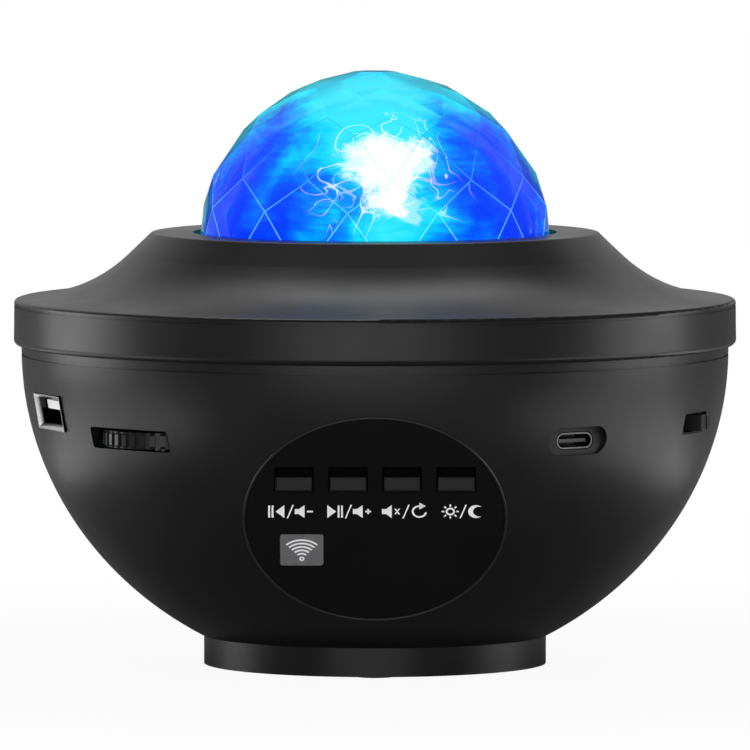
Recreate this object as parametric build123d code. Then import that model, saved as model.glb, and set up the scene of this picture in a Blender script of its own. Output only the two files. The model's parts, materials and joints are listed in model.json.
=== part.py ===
from build123d import *
import os
from math import acos, asin, atan2, cos, degrees, hypot, pi, radians, sin, sqrt, tan

# Star night light projector: a bowl on a short foot, a flared top cover, and a faceted clear dome
# over a turning ripple dome. Millimetres, Z up, origin on the axis at the plane it stands on.
# An azimuth is measured round Z from the control panel, which faces -Y, and grows towards +X.

# Bowl: an ellipsoid of revolution
BOWL_RADIUS = 73.45
BOWL_DEPTH = 68.25
BOWL_CUT = 8.75
BOWL_WALL = 2.4
FLOOR_Z = 6.5
FLOOR_THICKNESS = 2.5
LIP_HEIGHT = 8.0
GROOVE_DROP = 1.1
GROOVE_SIZE = 0.45

# Top cover: skirt, brim, flared cone and flat collar round the dome
SKIRT_WALL = 1.35
SKIRT_LIFT = 0.9
SKIRT_DRAFT = 0.1
SKIRT_GAP = 0.15
SKIRT_ROUND = 1.2
RIM_RISE = 2.3
SEAM_DEPTH = 0.25
SEAM_HEIGHT = 0.4
EDGE_ROUND = 0.8
COLLAR_WIDTH = 9.1
COLLAR_RISE = 13.9
CONE_ANGLE = 43.85
BRIM_ANGLE = 6.8
FLARE_FILL = 0.65
COVER_WALL = 2.2
COVER_SCREW_INSET = 15.95
BOSS_WALL = 1.8
LUG_WALL = 0.8
BOSS_ROOF = 1.2

# Foot
FOOT_INSET = 0.4
FOOT_WALL = 2.4
FOOT_RIM_Z = 0.5
FOOT_PLATE_Z = 1.2
FOOT_PLATE = 2.0
GRILLE_GAP = 2.8
GRILLE_SLOT = 1.8
GRILLE_PITCH = 4.4
PAD_RADIUS = 4.5
PAD_HEIGHT = 2.0
PAD_INSET = 0.9
PAD_EDGE = 0.4
FOOT_BOSS_WALL = 1.3

# Clear dome, cut with flat facets
DOME_RADIUS = 37.3
DOME_DROP = 1.7
DOME_WALL = 3.0
DOME_SIDES = 12
DOME_PHASE = -9.0
APEX_LATITUDE = 14.8
SHOULDER_LATITUDE = 25.4
FACET_RINGS = 6
CROWN_SIDES = 6
CROWN_LATITUDE = 74.0
CROWN_DEPTH = 0.988
DOME_FLANGE_WIDTH = 2.6
DOME_FLANGE = 1.5
DOME_GAP = 0.5
RETAINER_THICKNESS = 1.7
RETAINER_OPENING = 0.5

# Chassis hung under the top cover, with legs down to the bowl's floor
DECK_DROP = 2.0
DECK_THICKNESS = 2.0
DECK_RADIUS = 48.0
DECK_HOLE = 21.0
ARM_WIDTH = 11.0
ARM_TIP = 4.5
ARM_ROOT = 4.0
RIB_SETBACK = 6.0
LEG_INSET = 2.2
LEG_RADIUS = 3.5
BEARING_RADIUS = 27.0
BEARING_WALL = 2.4
SHOULDER_WIDTH = 1.6
RIB_HEIGHT = 4.0
RIB_THICKNESS = 1.6

# Gear train: ring gear under the ripple dome, driven by the motor pinion
GEAR_MODULE = 0.9
RIPPLE_TEETH = 70
PINION_TEETH = 14
PRESSURE_ANGLE = 25.0
BACKLASH = 0.16
GEAR_FACE = 3.5
GEAR_DROP = 0.85
GEAR_REST = 0.05
GEAR_FLANGE = 0.8
GEAR_LIP_WALL = 1.4
GEAR_LIP_HEIGHT = 1.2
PINION_HEADROOM = 0.4
PINION_HUB_WALL = 1.6
PINION_HUB_RISE = 2.6
RUNNING_GAP = 0.08
MOTOR_RADIUS = 10.0
MOTOR_LENGTH = 15.0
MOTOR_EAR_REACH = 14.0
MOTOR_PILOT_RADIUS = 3.8
MOTOR_SHAFT_RADIUS = 1.5
MOTOR_PILOT_RISE = 1.5
MOTOR_BACK = 3.0
MOTOR_EAR_WIDTH = 6.0
MOTOR_EAR = 1.2
MOTOR_EAR_HOLE = 1.0
MOTOR_EDGE = 0.8

# Ripple dome, which shares its centre with the clear dome round it
RIPPLE_GAP = 0.8
RIPPLE_WALL = 1.8

# Light engine
SINK_RADIUS = 26.0
SINK_PLATE = 2.5
FIN_HEIGHT = 9.0
FIN_THICKNESS = 1.4
FIN_PITCH = 4.2
FIN_FIELD = 19.0
SINK_SCREW_CIRCLE = 23.5
LED_BOARD_RADIUS = 20.5
LED_BOARD = 1.6
LED_SIZE = 5.6
LED_HEIGHT = 1.4
LED_CIRCLE = 11.6
COLLIMATOR_RADIUS = 5.5
COLLIMATOR_FOOT = 2.6
COLLIMATOR_HEIGHT = 5.8
COLLIMATOR_RIM = 0.7
COLLIMATOR_RIM_HEIGHT = 1.0
HOLDER_RADIUS = 19.9
HOLDER_WALL = 1.4
LASER_RADIUS = 4.0
LASER_WALL = 1.2
LASER_DROP = 14.0
LASER_WELL = 2.0
GRATING_HEIGHT = 1.0

# Main board on posts from the bowl
BOARD_DROP = 17.0
BOARD_THICKNESS = 1.6
BOARD_EDGE_GAP = 2.16
BOARD_FRONT_GAP = 1.8
POST_INSET = 24.0
POST_RADIUS = 3.0
POST_AZIMUTHS = (-20.0, 20.0, 140.0, -140.0)
CHIPS = [((-8.0, 8.0), (-6.0, 6.0), 1.6), ((-24.0, -15.0), (-5.0, 2.0), 1.4),
         ((14.0, 27.0), (-8.0, 8.0), 2.4), ((-6.0, 6.0), (18.0, 24.0), 1.2), ((40.0, 46.0), (-4.0, 4.0), 1.4)]
CAN_EDGE = 0.4
CAPACITORS = [(-40.0, 8.0, 4.0, 10.0), (-42.0, 20.0, 4.0, 10.0), (24.0, 44.0, 5.0, 11.0),
              (44.0, 14.0, 3.2, 8.0)]

# Control panel: a flat facet cut in the bowl, with an oval plate let into it
PANEL_DROP = 9.3
PANEL_RISE = 6.4
PANEL_RIM = 0.75
PLATE_THICKNESS = 1.0
PLATE_GAP = 0.1
KEY_RISE = 8.5
KEY_PITCH = 10.95
KEY_WIDTH = 7.5
KEY_HEIGHT = 4.8
KEY_NOSE_HEIGHT = 3.1
KEY_PROUD = 1.0
KEY_STEP_DEPTH = 2.3
KEY_GAP = 0.2
KEY_FLANGE = 1.0
KEY_FLANGE_LIP = 0.9
KEY_GUIDE_DEPTH = 7.2
KEY_GUIDE_WALL = 1.5
KEY_TRAVEL = 0.5
KEY_EDGE = 0.35
PLUNGER_RADIUS = 1.75
PLUNGER_DEPTH = 1.6
SWITCH_SIZE = 6.0
SWITCH_DEPTH = 3.1
SWITCH_EDGE = 0.5
KEY_BOARD = 1.6
KEY_BOARD_WIDTH = 54.0
KEY_BOARD_CORNER = 3.0
KEY_BOARD_RISE = 8.6
KEY_BOARD_DROP = 8.4
KEY_BOSS_X = 24.3
KEY_BOSS_RADIUS = 2.5

# Receiver window and the infrared receiver behind it
WINDOW_X = -14.9
WINDOW_DROP = 15.1
WINDOW_WIDTH = 8.8
WINDOW_HEIGHT = 7.8
WINDOW_THICKNESS = 1.6
WINDOW_LIP = 1.2
WINDOW_CORNER = 0.6
RECEIVER_WIDTH = 7.0
RECEIVER_BODY = (5.0, 6.6)
RECEIVER_LENS = 2.4
RECEIVER_DROP = 0.6
LEAD_PITCH = 2.54
LEAD_WIDTH = 0.5
LEAD_THICKNESS = 0.4
LEAD_REACH = 4.0

# Volume thumbwheel
WHEEL_AZIMUTH = -45.0
WHEEL_PROUD = 2.0
WHEEL_LIFT = 1.4
WHEEL_RADIUS = 12.5
WHEEL_THICKNESS = 3.4
WHEEL_RIBS = 36
WHEEL_RIB_DEPTH = 0.55
WHEEL_SLOT_GAP = 1.8
WHEEL_SLOT_HEIGHT = 4.4
WHEEL_CLEARANCE = 0.8
WHEEL_DISH = 0.8
WHEEL_TYRE = 3.5
WHEEL_HUB = 2.5
WHEEL_EDGE = 0.6
POT_RADIUS = 5.4
POT_HEIGHT = 3.8
POT_SHAFT_RADIUS = 2.0
POT_TONGUE_WIDTH = 8.0
POT_TONGUE_REACH = 4.0
POT_TONGUE = 1.2
POT_FLOOR = 0.6

# USB-A socket
USB_A_SPACING = 29.5
USB_A_LIFT = 5.4
USB_A_INNER = (12.5, 5.12)
USB_A_SHELL = 0.3
USB_A_FLARE = (14.9, 7.4)
USB_A_FLARE_DEPTH = 1.0
USB_A_DEPTH = 13.0
USB_A_TONGUE = (11.1, 1.84)
USB_A_TONGUE_OFFSET = 1.1
USB_A_TONGUE_LENGTH = 10.6
USB_A_ROOT = 2.2
USB_A_CONTACT = (1.0, 0.15, 7.0)
USB_A_CONTACT_OUTER = 3.5
USB_A_CONTACT_INNER = 1.0
USB_BOARD = (20.0, 13.0, 1.4)
USB_RAIL = 3.0
USB_RAIL_LENGTH = 10.0
USB_RAIL_STOP = 1.2

# USB-C socket
USB_C_AZIMUTH = 35.4
USB_C_SHELL = (8.94, 3.26)
USB_C_SHELL_WALL = 0.3
USB_C_LENGTH = 7.4
USB_C_TONGUE = (6.7, 0.7)
USB_C_POCKET = (14.5, 5.8)
USB_C_POCKET_DEPTH = 1.5
USB_C_LIFT = 0.07
USB_C_BACK = 0.8
USB_C_ROOT = 1.2
USB_C_FOOT = (1.0, 1.4)

# Power slide switch
SLIDER_AZIMUTH = 66.2
SLIDER_LIFT = 3.4
SLIDER_TRAVEL = 4.0
SLIDER_POCKET = (11.4, 4.3)
SLIDER_POCKET_DEPTH = 0.9
SLIDER_NUB = (4.2, 3.3)
SLIDER_NUB_OUT = 1.6
SLIDER_BODY = (15.0, 4.6)
SLIDER_SETBACK = 2.5
SLIDER_EDGE = 0.4
SLIDER_CORNER = 0.5
SLIDER_MARK = (0.6, 0.5)
TAIL = (3.0, 2.2, 1.4)
SHIELD_HALF = (6.0, 2.4)
SHIELD_THICKNESS = 0.7

# Loudspeaker firing down through the floor
SPEAKER_GAP = 1.9
SPEAKER_FLANGE = 1.2
GASKET_THICKNESS = 0.8
BASKET_HEIGHT = 12.0
BASKET_INSET = 2.0
BASKET_WALL = 1.2
BASKET_OVERHANG = 1.0
BASKET_WINDOW = 14.0
BASKET_SILL = 1.5
BASKET_HEAD = 3.0
MAGNET_RADIUS = 14.0
MAGNET_HEIGHT = 8.0
MAGNET_BACK = 2.0
MAGNET_GROOVE_DEPTH = 0.6
MAGNET_GROOVE = 0.4
COIL_RADIUS = 6.9
COIL_WALL = 0.6
COIL_GAP = 0.3
COIL_REACH = 2.0
CONE_SETBACK = 3.4
CONE_WALL = 0.8
FLANGE_WIDTH = 2.6
HOLE_INSET = 0.5
SURROUND = 0.5
SURROUND_WIDTH = 4.2
EAR_REACH = 2.0
EAR_RADIUS = 3.0

# Screws, small and large
SMALL_SHANK = 1.0
SMALL_HEAD = 1.9
SMALL_HEAD_HEIGHT = 1.3
LARGE_SHANK = 1.4
LARGE_HEAD = 2.5
LARGE_HEAD_HEIGHT = 1.6
SLOT_WIDTH = 0.7
PILOT_GAP = 0.05
SCREW_GAP = 0.3
BOARD_SCREW_BITE = 6.0
KEY_BOARD_SCREW_BITE = 5.0
BASE_SCREW_BITE = 9.0
COVER_SCREW_ROOF = 1.4
RETAINER_SCREW_BITE = 2.6
BLIND = 0.6

CORNERS = (45.0, 135.0, 225.0, 315.0)
QUARTERS = (0.0, 90.0, 180.0, 270.0)
OVERCUT = 1.0
PORT_REACH = 12.0
PORT_CORNER = 0.8


# Plain shapes -------------------------------------------------------------------------------

def disc(radius, low, high):
    """Upright cylinder on the axis between two heights."""
    return Pos(0, 0, low) * Cylinder(radius, high - low, align=(Align.CENTER, Align.CENTER, Align.MIN))


def ring(outer, inner, low, high):
    """Upright tube on the axis between two heights."""
    return disc(outer, low, high) - disc(inner, low - OVERCUT, high + OVERCUT)


def block(x_range, y_range, z_range):
    """Box between two limits on each axis."""
    sizes = [high - low for low, high in (x_range, y_range, z_range)]
    middles = [(high + low) / 2 for low, high in (x_range, y_range, z_range)]
    return Pos(*middles) * Box(*sizes)


def outwards(azimuth):
    """Unit vector pointing out of the lamp at an azimuth."""
    return Vector(sin(radians(azimuth)), -cos(radians(azimuth)), 0)


def at(azimuth, radius):
    """Place at a radius and azimuth, with +Y of the moved shape pointing inwards."""
    return Rot(0, 0, azimuth) * Pos(0, -radius, 0)


def fuse(shapes):
    """One shape from several that touch."""
    first, *others = shapes
    return first + others if others else first


def group(shapes):
    """Separate solids kept in one node."""
    return Compound(children=[solid for shape in shapes for solid in shape.solids()])


SMALL_SCREW = (SMALL_SHANK, SMALL_HEAD, SMALL_HEAD_HEIGHT)
LARGE_SCREW = (LARGE_SHANK, LARGE_HEAD, LARGE_HEAD_HEIGHT)


def screw(size, shank_length, seat_z):
    """Screw pushed upwards: head below its seat, shank above it."""
    shank, head, head_height = size
    half = SLOT_WIDTH / 2
    slot = block((-half, half), (-head, head), (seat_z - head_height - OVERCUT, seat_z - head_height / 2))
    return disc(head, seat_z - head_height, seat_z) + disc(shank, seat_z, seat_z + shank_length) - slot


def meet(angle_a, offset_a, angle_b, offset_b):
    """Point where two lines cross, each given by its normal's angle and its distance from the origin."""
    a, b = radians(angle_a), radians(angle_b)
    scale = sin(b - a)
    r = (offset_a * sin(b) - offset_b * sin(a)) / scale
    z = (offset_b * cos(a) - offset_a * cos(b)) / scale
    return r, z


def section(points, radii):
    """Face in the XZ plane under a filleted line, closed along the axis."""
    line = FilletPolyline(*[(r, 0, z) for r, z in points], radius=radii)
    start, end = line @ 0, line @ 1
    closing = Polyline(end, (0, 0, end.Z), (0, 0, start.Z), start) if start.X else Line(end, start)
    return make_face(line.edges() + closing.edges())


# Bowl ---------------------------------------------------------------------------------------

BOWL_CENTRE_Z = FLOOR_Z + BOWL_DEPTH - BOWL_CUT
GROOVE_Z = BOWL_CENTRE_Z - GROOVE_DROP
SKIRT_BOTTOM_Z = BOWL_CENTRE_Z + SKIRT_LIFT
LIP_TOP_Z = BOWL_CENTRE_Z + LIP_HEIGHT
RIM_Z = LIP_TOP_Z + RIM_RISE
COLLAR_Z = RIM_Z + COLLAR_RISE
DECK_Z = LIP_TOP_Z - DECK_DROP
BOARD_TOP_Z = BOWL_CENTRE_Z - BOARD_DROP
WHEEL_Z = BOARD_TOP_Z + WHEEL_LIFT
SLIDER_Z = BOARD_TOP_Z + SLIDER_LIFT
USB_A_Z = BOARD_TOP_Z + USB_A_LIFT
USB_A_AZIMUTH = WHEEL_AZIMUTH - degrees(USB_A_SPACING / BOWL_RADIUS)
PANEL_TOP_Z = BOWL_CENTRE_Z - PANEL_DROP
PANEL_BOTTOM_Z = FLOOR_Z + PANEL_RISE


def bowl_radius_at(z, inset=0.0):
    """Radius of the bowl's ellipsoid at a height, moved inwards by inset."""
    height = (BOWL_CENTRE_Z - z) / (BOWL_DEPTH - inset)
    return (BOWL_RADIUS - inset) * sqrt(1 - height ** 2)


def half_bowl(inset, bottom_z, top_z):
    """Solid of the bowl's form between two heights, moved inwards by inset."""
    a, b = BOWL_RADIUS - inset, BOWL_DEPTH - inset
    start = degrees(asin((bottom_z - BOWL_CENTRE_Z) / b))
    arc = Plane.XZ * EllipticalCenterArc((0, BOWL_CENTRE_Z), a, b, start_angle=start, arc_size=-start)
    rest = Polyline((a, 0, BOWL_CENTRE_Z), (a, 0, top_z), (0, 0, top_z), (0, 0, bottom_z), arc @ 0)
    return revolve(make_face([arc.edge()] + rest.edges()), Axis.Z)


RIM_RADIUS = BOWL_RADIUS + SKIRT_GAP + SKIRT_WALL
PANEL_TOP_R = bowl_radius_at(PANEL_TOP_Z)
PANEL_BOTTOM_R = bowl_radius_at(PANEL_BOTTOM_Z)
PANEL_TILT = atan2(PANEL_TOP_R - PANEL_BOTTOM_R, PANEL_TOP_Z - PANEL_BOTTOM_Z)
PANEL_R = (PANEL_TOP_R + PANEL_BOTTOM_R) / 2
PANEL_Z = (PANEL_TOP_Z + PANEL_BOTTOM_Z) / 2
PANEL = Plane(origin=(0, -PANEL_R, PANEL_Z), x_dir=(1, 0, 0), z_dir=(0, -cos(PANEL_TILT), -sin(PANEL_TILT)))
PANEL_HALF_HEIGHT = hypot(PANEL_TOP_R - PANEL_BOTTOM_R, PANEL_TOP_Z - PANEL_BOTTOM_Z) / 2
PANEL_HALF_WIDTH = sqrt(bowl_radius_at(PANEL_Z) ** 2 - PANEL_R ** 2)
FLOOR_TOP_Z = FLOOR_Z + FLOOR_THICKNESS
FOOT_RADIUS = bowl_radius_at(FLOOR_Z) - FOOT_INSET
LEG_CIRCLE = FOOT_RADIUS - FOOT_WALL - LEG_INSET
PAD_CIRCLE = FOOT_RADIUS - FOOT_WALL - PAD_INSET - PAD_RADIUS
GRILLE_RADIUS = PAD_CIRCLE - PAD_RADIUS - GRILLE_GAP
SPEAKER_RADIUS = LEG_CIRCLE - LEG_RADIUS - SPEAKER_GAP
EAR_CIRCLE = SPEAKER_RADIUS + EAR_REACH
CONE_RADIUS = SPEAKER_RADIUS - FLANGE_WIDTH
SPEAKER_HOLE = CONE_RADIUS - HOLE_INSET
BOARD_Z = BOARD_TOP_Z - BOARD_THICKNESS
BOARD_RADIUS = bowl_radius_at(BOARD_Z, BOWL_WALL) - BOARD_EDGE_GAP
POST_CIRCLE = BOARD_RADIUS - POST_INSET
USB_C_Z = BOARD_TOP_Z + USB_C_LIFT + USB_C_SHELL[1] / 2
WHEEL_WALL_R = bowl_radius_at(WHEEL_Z)
WHEEL_CENTRE_R = WHEEL_WALL_R + WHEEL_PROUD - WHEEL_RADIUS
WHEEL_CHORD = 2 * sqrt(WHEEL_RADIUS ** 2 - (WHEEL_WALL_R - BOWL_WALL - WHEEL_CENTRE_R) ** 2)
WHEEL_SLOT_WIDTH = WHEEL_CHORD + 2 * WHEEL_SLOT_GAP
SLIDER_BODY_FACE_R = bowl_radius_at(SLIDER_Z, BOWL_WALL) - SLIDER_SETBACK


def panel_y(z, depth=0.0):
    """Y of the panel facet at a height, moved into the bowl by depth."""
    return -(PANEL_R + (z - PANEL_Z) * tan(PANEL_TILT) - depth / cos(PANEL_TILT))


KEY_Z = PANEL_Z + KEY_RISE
WINDOW_Z = KEY_Z - WINDOW_DROP
KEY_NOSE_Y = panel_y(KEY_Z) - KEY_PROUD
KEY_STEP_Y = panel_y(KEY_Z) + KEY_STEP_DEPTH
KEY_GUIDE_Y = panel_y(KEY_Z) + KEY_GUIDE_DEPTH
KEY_BOARD_Y = KEY_GUIDE_Y + KEY_FLANGE + KEY_TRAVEL + SWITCH_DEPTH + RUNNING_GAP
KEY_BOARD_BOTTOM_Z = KEY_Z - KEY_BOARD_DROP
KEY_XS = [(i - 1.5) * KEY_PITCH for i in range(4)]
BOARD_FRONT_Y = KEY_BOARD_Y + KEY_BOARD + BOARD_FRONT_GAP


def panel_slope(z):
    """Distance up the facet from its centre for a height."""
    return (z - PANEL_Z) / cos(PANEL_TILT)


def panel_oval(inset, depth, amount):
    """Oval slab on the facet: inset from its edge, starting at a depth, growing outwards."""
    oval = Ellipse(PANEL_HALF_WIDTH - inset, PANEL_HALF_HEIGHT - inset)
    return extrude(PANEL.offset(-depth) * oval, amount=amount)


def panel_window(width, height, depth, amount):
    """Rectangular slab on the facet at the receiver window."""
    place = PANEL.offset(-depth) * Pos(WINDOW_X, panel_slope(WINDOW_Z))
    return extrude(place * RectangleRounded(width, height, WINDOW_CORNER), amount=amount)


def key_slots(gap):
    """Level tunnels through the facet, one for each key."""
    half_w, half_h = KEY_WIDTH / 2 + gap, KEY_HEIGHT / 2 + gap
    front = panel_y(KEY_Z + half_h) - OVERCUT
    return [block((x - half_w, x + half_w), (front, KEY_GUIDE_Y + OVERCUT),
                  (KEY_Z - half_h, KEY_Z + half_h)) for x in KEY_XS]


def wall_plane(azimuth, z):
    """Plane on the bowl's outside, facing along its normal, with x to the side and y up the wall."""
    radius = bowl_radius_at(z)
    lean = atan2(BOWL_DEPTH ** 2 * radius, BOWL_RADIUS ** 2 * (BOWL_CENTRE_Z - z))
    out = outwards(azimuth) * sin(lean) - Vector(0, 0, cos(lean))
    origin = outwards(azimuth) * radius + Vector(0, 0, z)
    return Plane(origin=origin, x_dir=(cos(radians(azimuth)), sin(radians(azimuth)), 0), z_dir=out)


USB_A_PLANE = wall_plane(USB_A_AZIMUTH, USB_A_Z)


def bowl_features():
    """Posts, key guide, bosses and rails inside the bowl, still to be trimmed by its outside."""
    posts = [at(a, POST_CIRCLE) * disc(POST_RADIUS, FLOOR_TOP_Z - OVERCUT, BOARD_Z) for a in POST_AZIMUTHS]
    half_w = KEY_XS[-1] + KEY_WIDTH / 2 + KEY_GAP + KEY_GUIDE_WALL
    half_h = KEY_HEIGHT / 2 + KEY_GAP + KEY_GUIDE_WALL
    guide = block((-half_w, half_w), (KEY_NOSE_Y, KEY_GUIDE_Y), (KEY_Z - half_h, KEY_Z + half_h))
    boss_length = KEY_BOARD_Y - KEY_NOSE_Y
    boss = Pos(0, KEY_BOARD_Y, KEY_Z) * Rot(90, 0, 0) * disc(KEY_BOSS_RADIUS, 0, boss_length)
    bosses = [Pos(side * KEY_BOSS_X, 0, 0) * boss for side in (-1, 1)]
    edge = USB_BOARD[0] / 2
    groove_low = -USB_A_DEPTH - USB_BOARD[2] - PLATE_GAP
    half = USB_RAIL_LENGTH / 2
    rail = block((edge - USB_RAIL / 2, edge + USB_RAIL / 2), (-half, half), (groove_low - USB_RAIL_STOP, 0))
    rail -= block((0, edge + PLATE_GAP), (-half - OVERCUT, half + OVERCUT),
                  (groove_low, -USB_A_DEPTH + PLATE_GAP))
    rails = [USB_A_PLANE.location * rail, USB_A_PLANE.location * (Rot(0, 0, 180) * rail)]
    return posts + [guide] + bosses + rails


def bowl_cuts():
    """Openings, pockets and holes in the bowl."""
    cuts = key_slots(KEY_GAP)
    cuts.append(panel_oval(PANEL_RIM, PLATE_THICKNESS, PLATE_THICKNESS + OVERCUT))
    seat = PLATE_THICKNESS + WINDOW_THICKNESS / 2
    seat_size = (WINDOW_WIDTH + 2 * PLATE_GAP, WINDOW_HEIGHT + 2 * PLATE_GAP)
    cuts.append(panel_window(*seat_size, seat, seat + OVERCUT))
    through = BOWL_WALL + 2 * OVERCUT
    sight = (WINDOW_WIDTH - 2 * WINDOW_LIP, WINDOW_HEIGHT - 2 * WINDOW_LIP)
    cuts.append(panel_window(*sight, through, through + OVERCUT))
    cuts.append(ring(BOWL_RADIUS + OVERCUT, BOWL_RADIUS - GROOVE_SIZE, GROOVE_Z, GROOVE_Z + GROOVE_SIZE))
    cuts.append(disc(SPEAKER_HOLE, FLOOR_Z - OVERCUT, FLOOR_TOP_Z + OVERCUT))
    for azimuth in CORNERS:
        hole = disc(LARGE_SHANK + SCREW_GAP, FLOOR_Z - OVERCUT, FLOOR_TOP_Z + OVERCUT)
        cuts.append(at(azimuth, LEG_CIRCLE) * hole)
    for azimuth in QUARTERS:
        hole = disc(SMALL_SHANK + PILOT_GAP, FLOOR_Z + OVERCUT, FLOOR_TOP_Z + OVERCUT)
        cuts.append(at(azimuth, EAR_CIRCLE) * hole)
    for azimuth in POST_AZIMUTHS:
        hole = disc(SMALL_SHANK + PILOT_GAP, BOARD_Z - BOARD_SCREW_BITE - OVERCUT, BOARD_Z + OVERCUT)
        cuts.append(at(azimuth, POST_CIRCLE) * hole)
    pilot = disc(SMALL_SHANK + PILOT_GAP, 0, KEY_BOARD_SCREW_BITE + 2 * OVERCUT)
    pilot = Pos(0, KEY_BOARD_Y + OVERCUT, KEY_Z) * Rot(90, 0, 0) * pilot
    cuts += [Pos(side * KEY_BOSS_X, 0, 0) * pilot for side in (-1, 1)]
    return cuts + port_cuts()


def port_cuts():
    """Openings for the thumbwheel, the two sockets and the slide switch."""
    wheel_half = WHEEL_SLOT_HEIGHT / 2
    wheel = block((-WHEEL_SLOT_WIDTH / 2, WHEEL_SLOT_WIDTH / 2), (-PORT_REACH, PORT_REACH),
                  (WHEEL_Z - wheel_half, WHEEL_Z + wheel_half))
    wheel = fillet(wheel.edges().filter_by(Axis.Y), PORT_CORNER)
    width, height = [size + 2 * PLATE_GAP for size in USB_A_FLARE]
    usb_a = block((-width / 2, width / 2), (-height / 2, height / 2), (-BOWL_WALL - 4 * OVERCUT, OVERCUT))
    usb_c_r, slider_r = bowl_radius_at(USB_C_Z), bowl_radius_at(SLIDER_Z)
    usb_c = radial_slot(USB_C_POCKET, usb_c_r - USB_C_POCKET_DEPTH, USB_C_POCKET_DEPTH + OVERCUT)
    usb_c += radial_slot([size + 4 * PLATE_GAP for size in USB_C_SHELL], usb_c_r - PORT_REACH, PORT_REACH)
    slider = radial_slot(SLIDER_POCKET, slider_r - SLIDER_POCKET_DEPTH, SLIDER_POCKET_DEPTH + OVERCUT,
                         square=True)
    window = (SLIDER_NUB[0] + SLIDER_TRAVEL + 4 * PLATE_GAP, SLIDER_NUB[1] + 4 * PLATE_GAP)
    slider += radial_slot(window, slider_r - PORT_REACH, PORT_REACH, square=True)
    return [at(WHEEL_AZIMUTH, WHEEL_WALL_R) * wheel, USB_A_PLANE.location * usb_a,
            Rot(0, 0, USB_C_AZIMUTH) * Pos(0, 0, USB_C_Z) * usb_c,
            Rot(0, 0, SLIDER_AZIMUTH) * Pos(0, 0, SLIDER_Z) * slider]


def radial_slot(size, start_r, length, square=False):
    """Rounded bar pointing out along -Y from a radius."""
    profile = RectangleRounded(*size, SLIDER_CORNER) if square else SlotOverall(*size)
    return extrude(Plane(origin=(0, -start_r, 0), x_dir=(1, 0, 0), z_dir=(0, -1, 0)) * profile, amount=length)


def bowl_housing():
    """Bowl shell with its floor, flat panel facet and the features moulded inside it."""
    outer = split(half_bowl(0, FLOOR_Z, LIP_TOP_Z), bisect_by=PANEL, keep=Keep.BOTTOM)
    void = half_bowl(BOWL_WALL, FLOOR_TOP_Z, LIP_TOP_Z + OVERCUT)
    void = split(void, bisect_by=PANEL.offset(-BOWL_WALL), keep=Keep.BOTTOM)
    shell = outer - void
    features = [outer & feature for feature in bowl_features()]
    return shell + features - bowl_cuts()


# Top cover ----------------------------------------------------------------------------------

DOME_INNER_RADIUS = DOME_RADIUS - DOME_WALL
DOME_BORE = DOME_RADIUS + DOME_GAP
DOME_FLANGE_RADIUS = DOME_BORE + DOME_FLANGE_WIDTH
LUG_RADIUS = SMALL_SHANK + LUG_WALL
RETAINER_SCREW_CIRCLE = DOME_FLANGE_RADIUS + 2 * PLATE_GAP + LUG_RADIUS
RETAINER_RADIUS = RETAINER_SCREW_CIRCLE + LUG_RADIUS
COLLAR_RADIUS = DOME_RADIUS + COLLAR_WIDTH
COVER_SCREW_CIRCLE = BOWL_RADIUS - COVER_SCREW_INSET


def cover_outline(inset):
    """Corners of the top cover from its collar to its rim, moved inwards by inset."""
    cone = 90 - CONE_ANGLE
    cone_offset = COLLAR_RADIUS * cos(radians(cone)) + COLLAR_Z * sin(radians(cone)) - inset
    brim = 90 - BRIM_ANGLE
    brim_offset = RIM_RADIUS * cos(radians(brim)) + RIM_Z * sin(radians(brim)) - inset
    collar = meet(cone, cone_offset, 90, COLLAR_Z - inset)
    knee = meet(cone, cone_offset, brim, brim_offset)
    rim = meet(0, RIM_RADIUS - inset, brim, brim_offset)
    return collar, knee, rim


def flare_radius():
    """Radius between cone and brim: its arc takes up a named part of the shorter run beside the knee."""
    collar, knee, rim = cover_outline(0)
    run = min(hypot(knee[0] - end[0], knee[1] - end[1]) for end in (collar, rim))
    return FLARE_FILL * run / tan(radians(CONE_ANGLE - BRIM_ANGLE) / 2)


FLARE_RADIUS = flare_radius()
COLLAR_UNDER_Z = COLLAR_Z - COVER_WALL
DOME_CENTRE_Z = COLLAR_UNDER_Z - DOME_DROP
FLANGE_Z = COLLAR_UNDER_Z - DOME_FLANGE
RETAINER_Z = FLANGE_Z - RETAINER_THICKNESS
DECK_TOP_Z = DECK_Z + DECK_THICKNESS


def cover_form(inset, skirt_radius, rounds):
    """Solid of the top cover's form, moved inwards by inset."""
    collar, knee, rim = cover_outline(inset)
    top_z = collar[1]
    points = [(0, top_z), collar, knee, rim, (skirt_radius, SKIRT_BOTTOM_Z), (0, SKIRT_BOTTOM_Z)]
    return revolve(section(points, [rounds[0], FLARE_RADIUS + inset, rounds[1], rounds[2]]), Axis.Z)


def cover_height_at(radius, inset):
    """Height of the cover at a radius between collar and rim: on its cone, its flare or its brim."""
    knee_r, knee_z = cover_outline(inset)[1]
    cone, brim = radians(CONE_ANGLE), radians(BRIM_ANGLE)
    flare = FLARE_RADIUS + inset
    reach = flare * tan((cone - brim) / 2)
    start_r = knee_r - reach * cos(cone)
    if radius <= start_r:
        return knee_z + (knee_r - radius) * tan(cone)
    if radius >= knee_r + reach * cos(brim):
        return knee_z - (radius - knee_r) * tan(brim)
    centre_r = start_r + flare * sin(cone)
    centre_z = knee_z + reach * sin(cone) + flare * cos(cone)
    return centre_z - sqrt(flare ** 2 - (radius - centre_r) ** 2)


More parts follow.
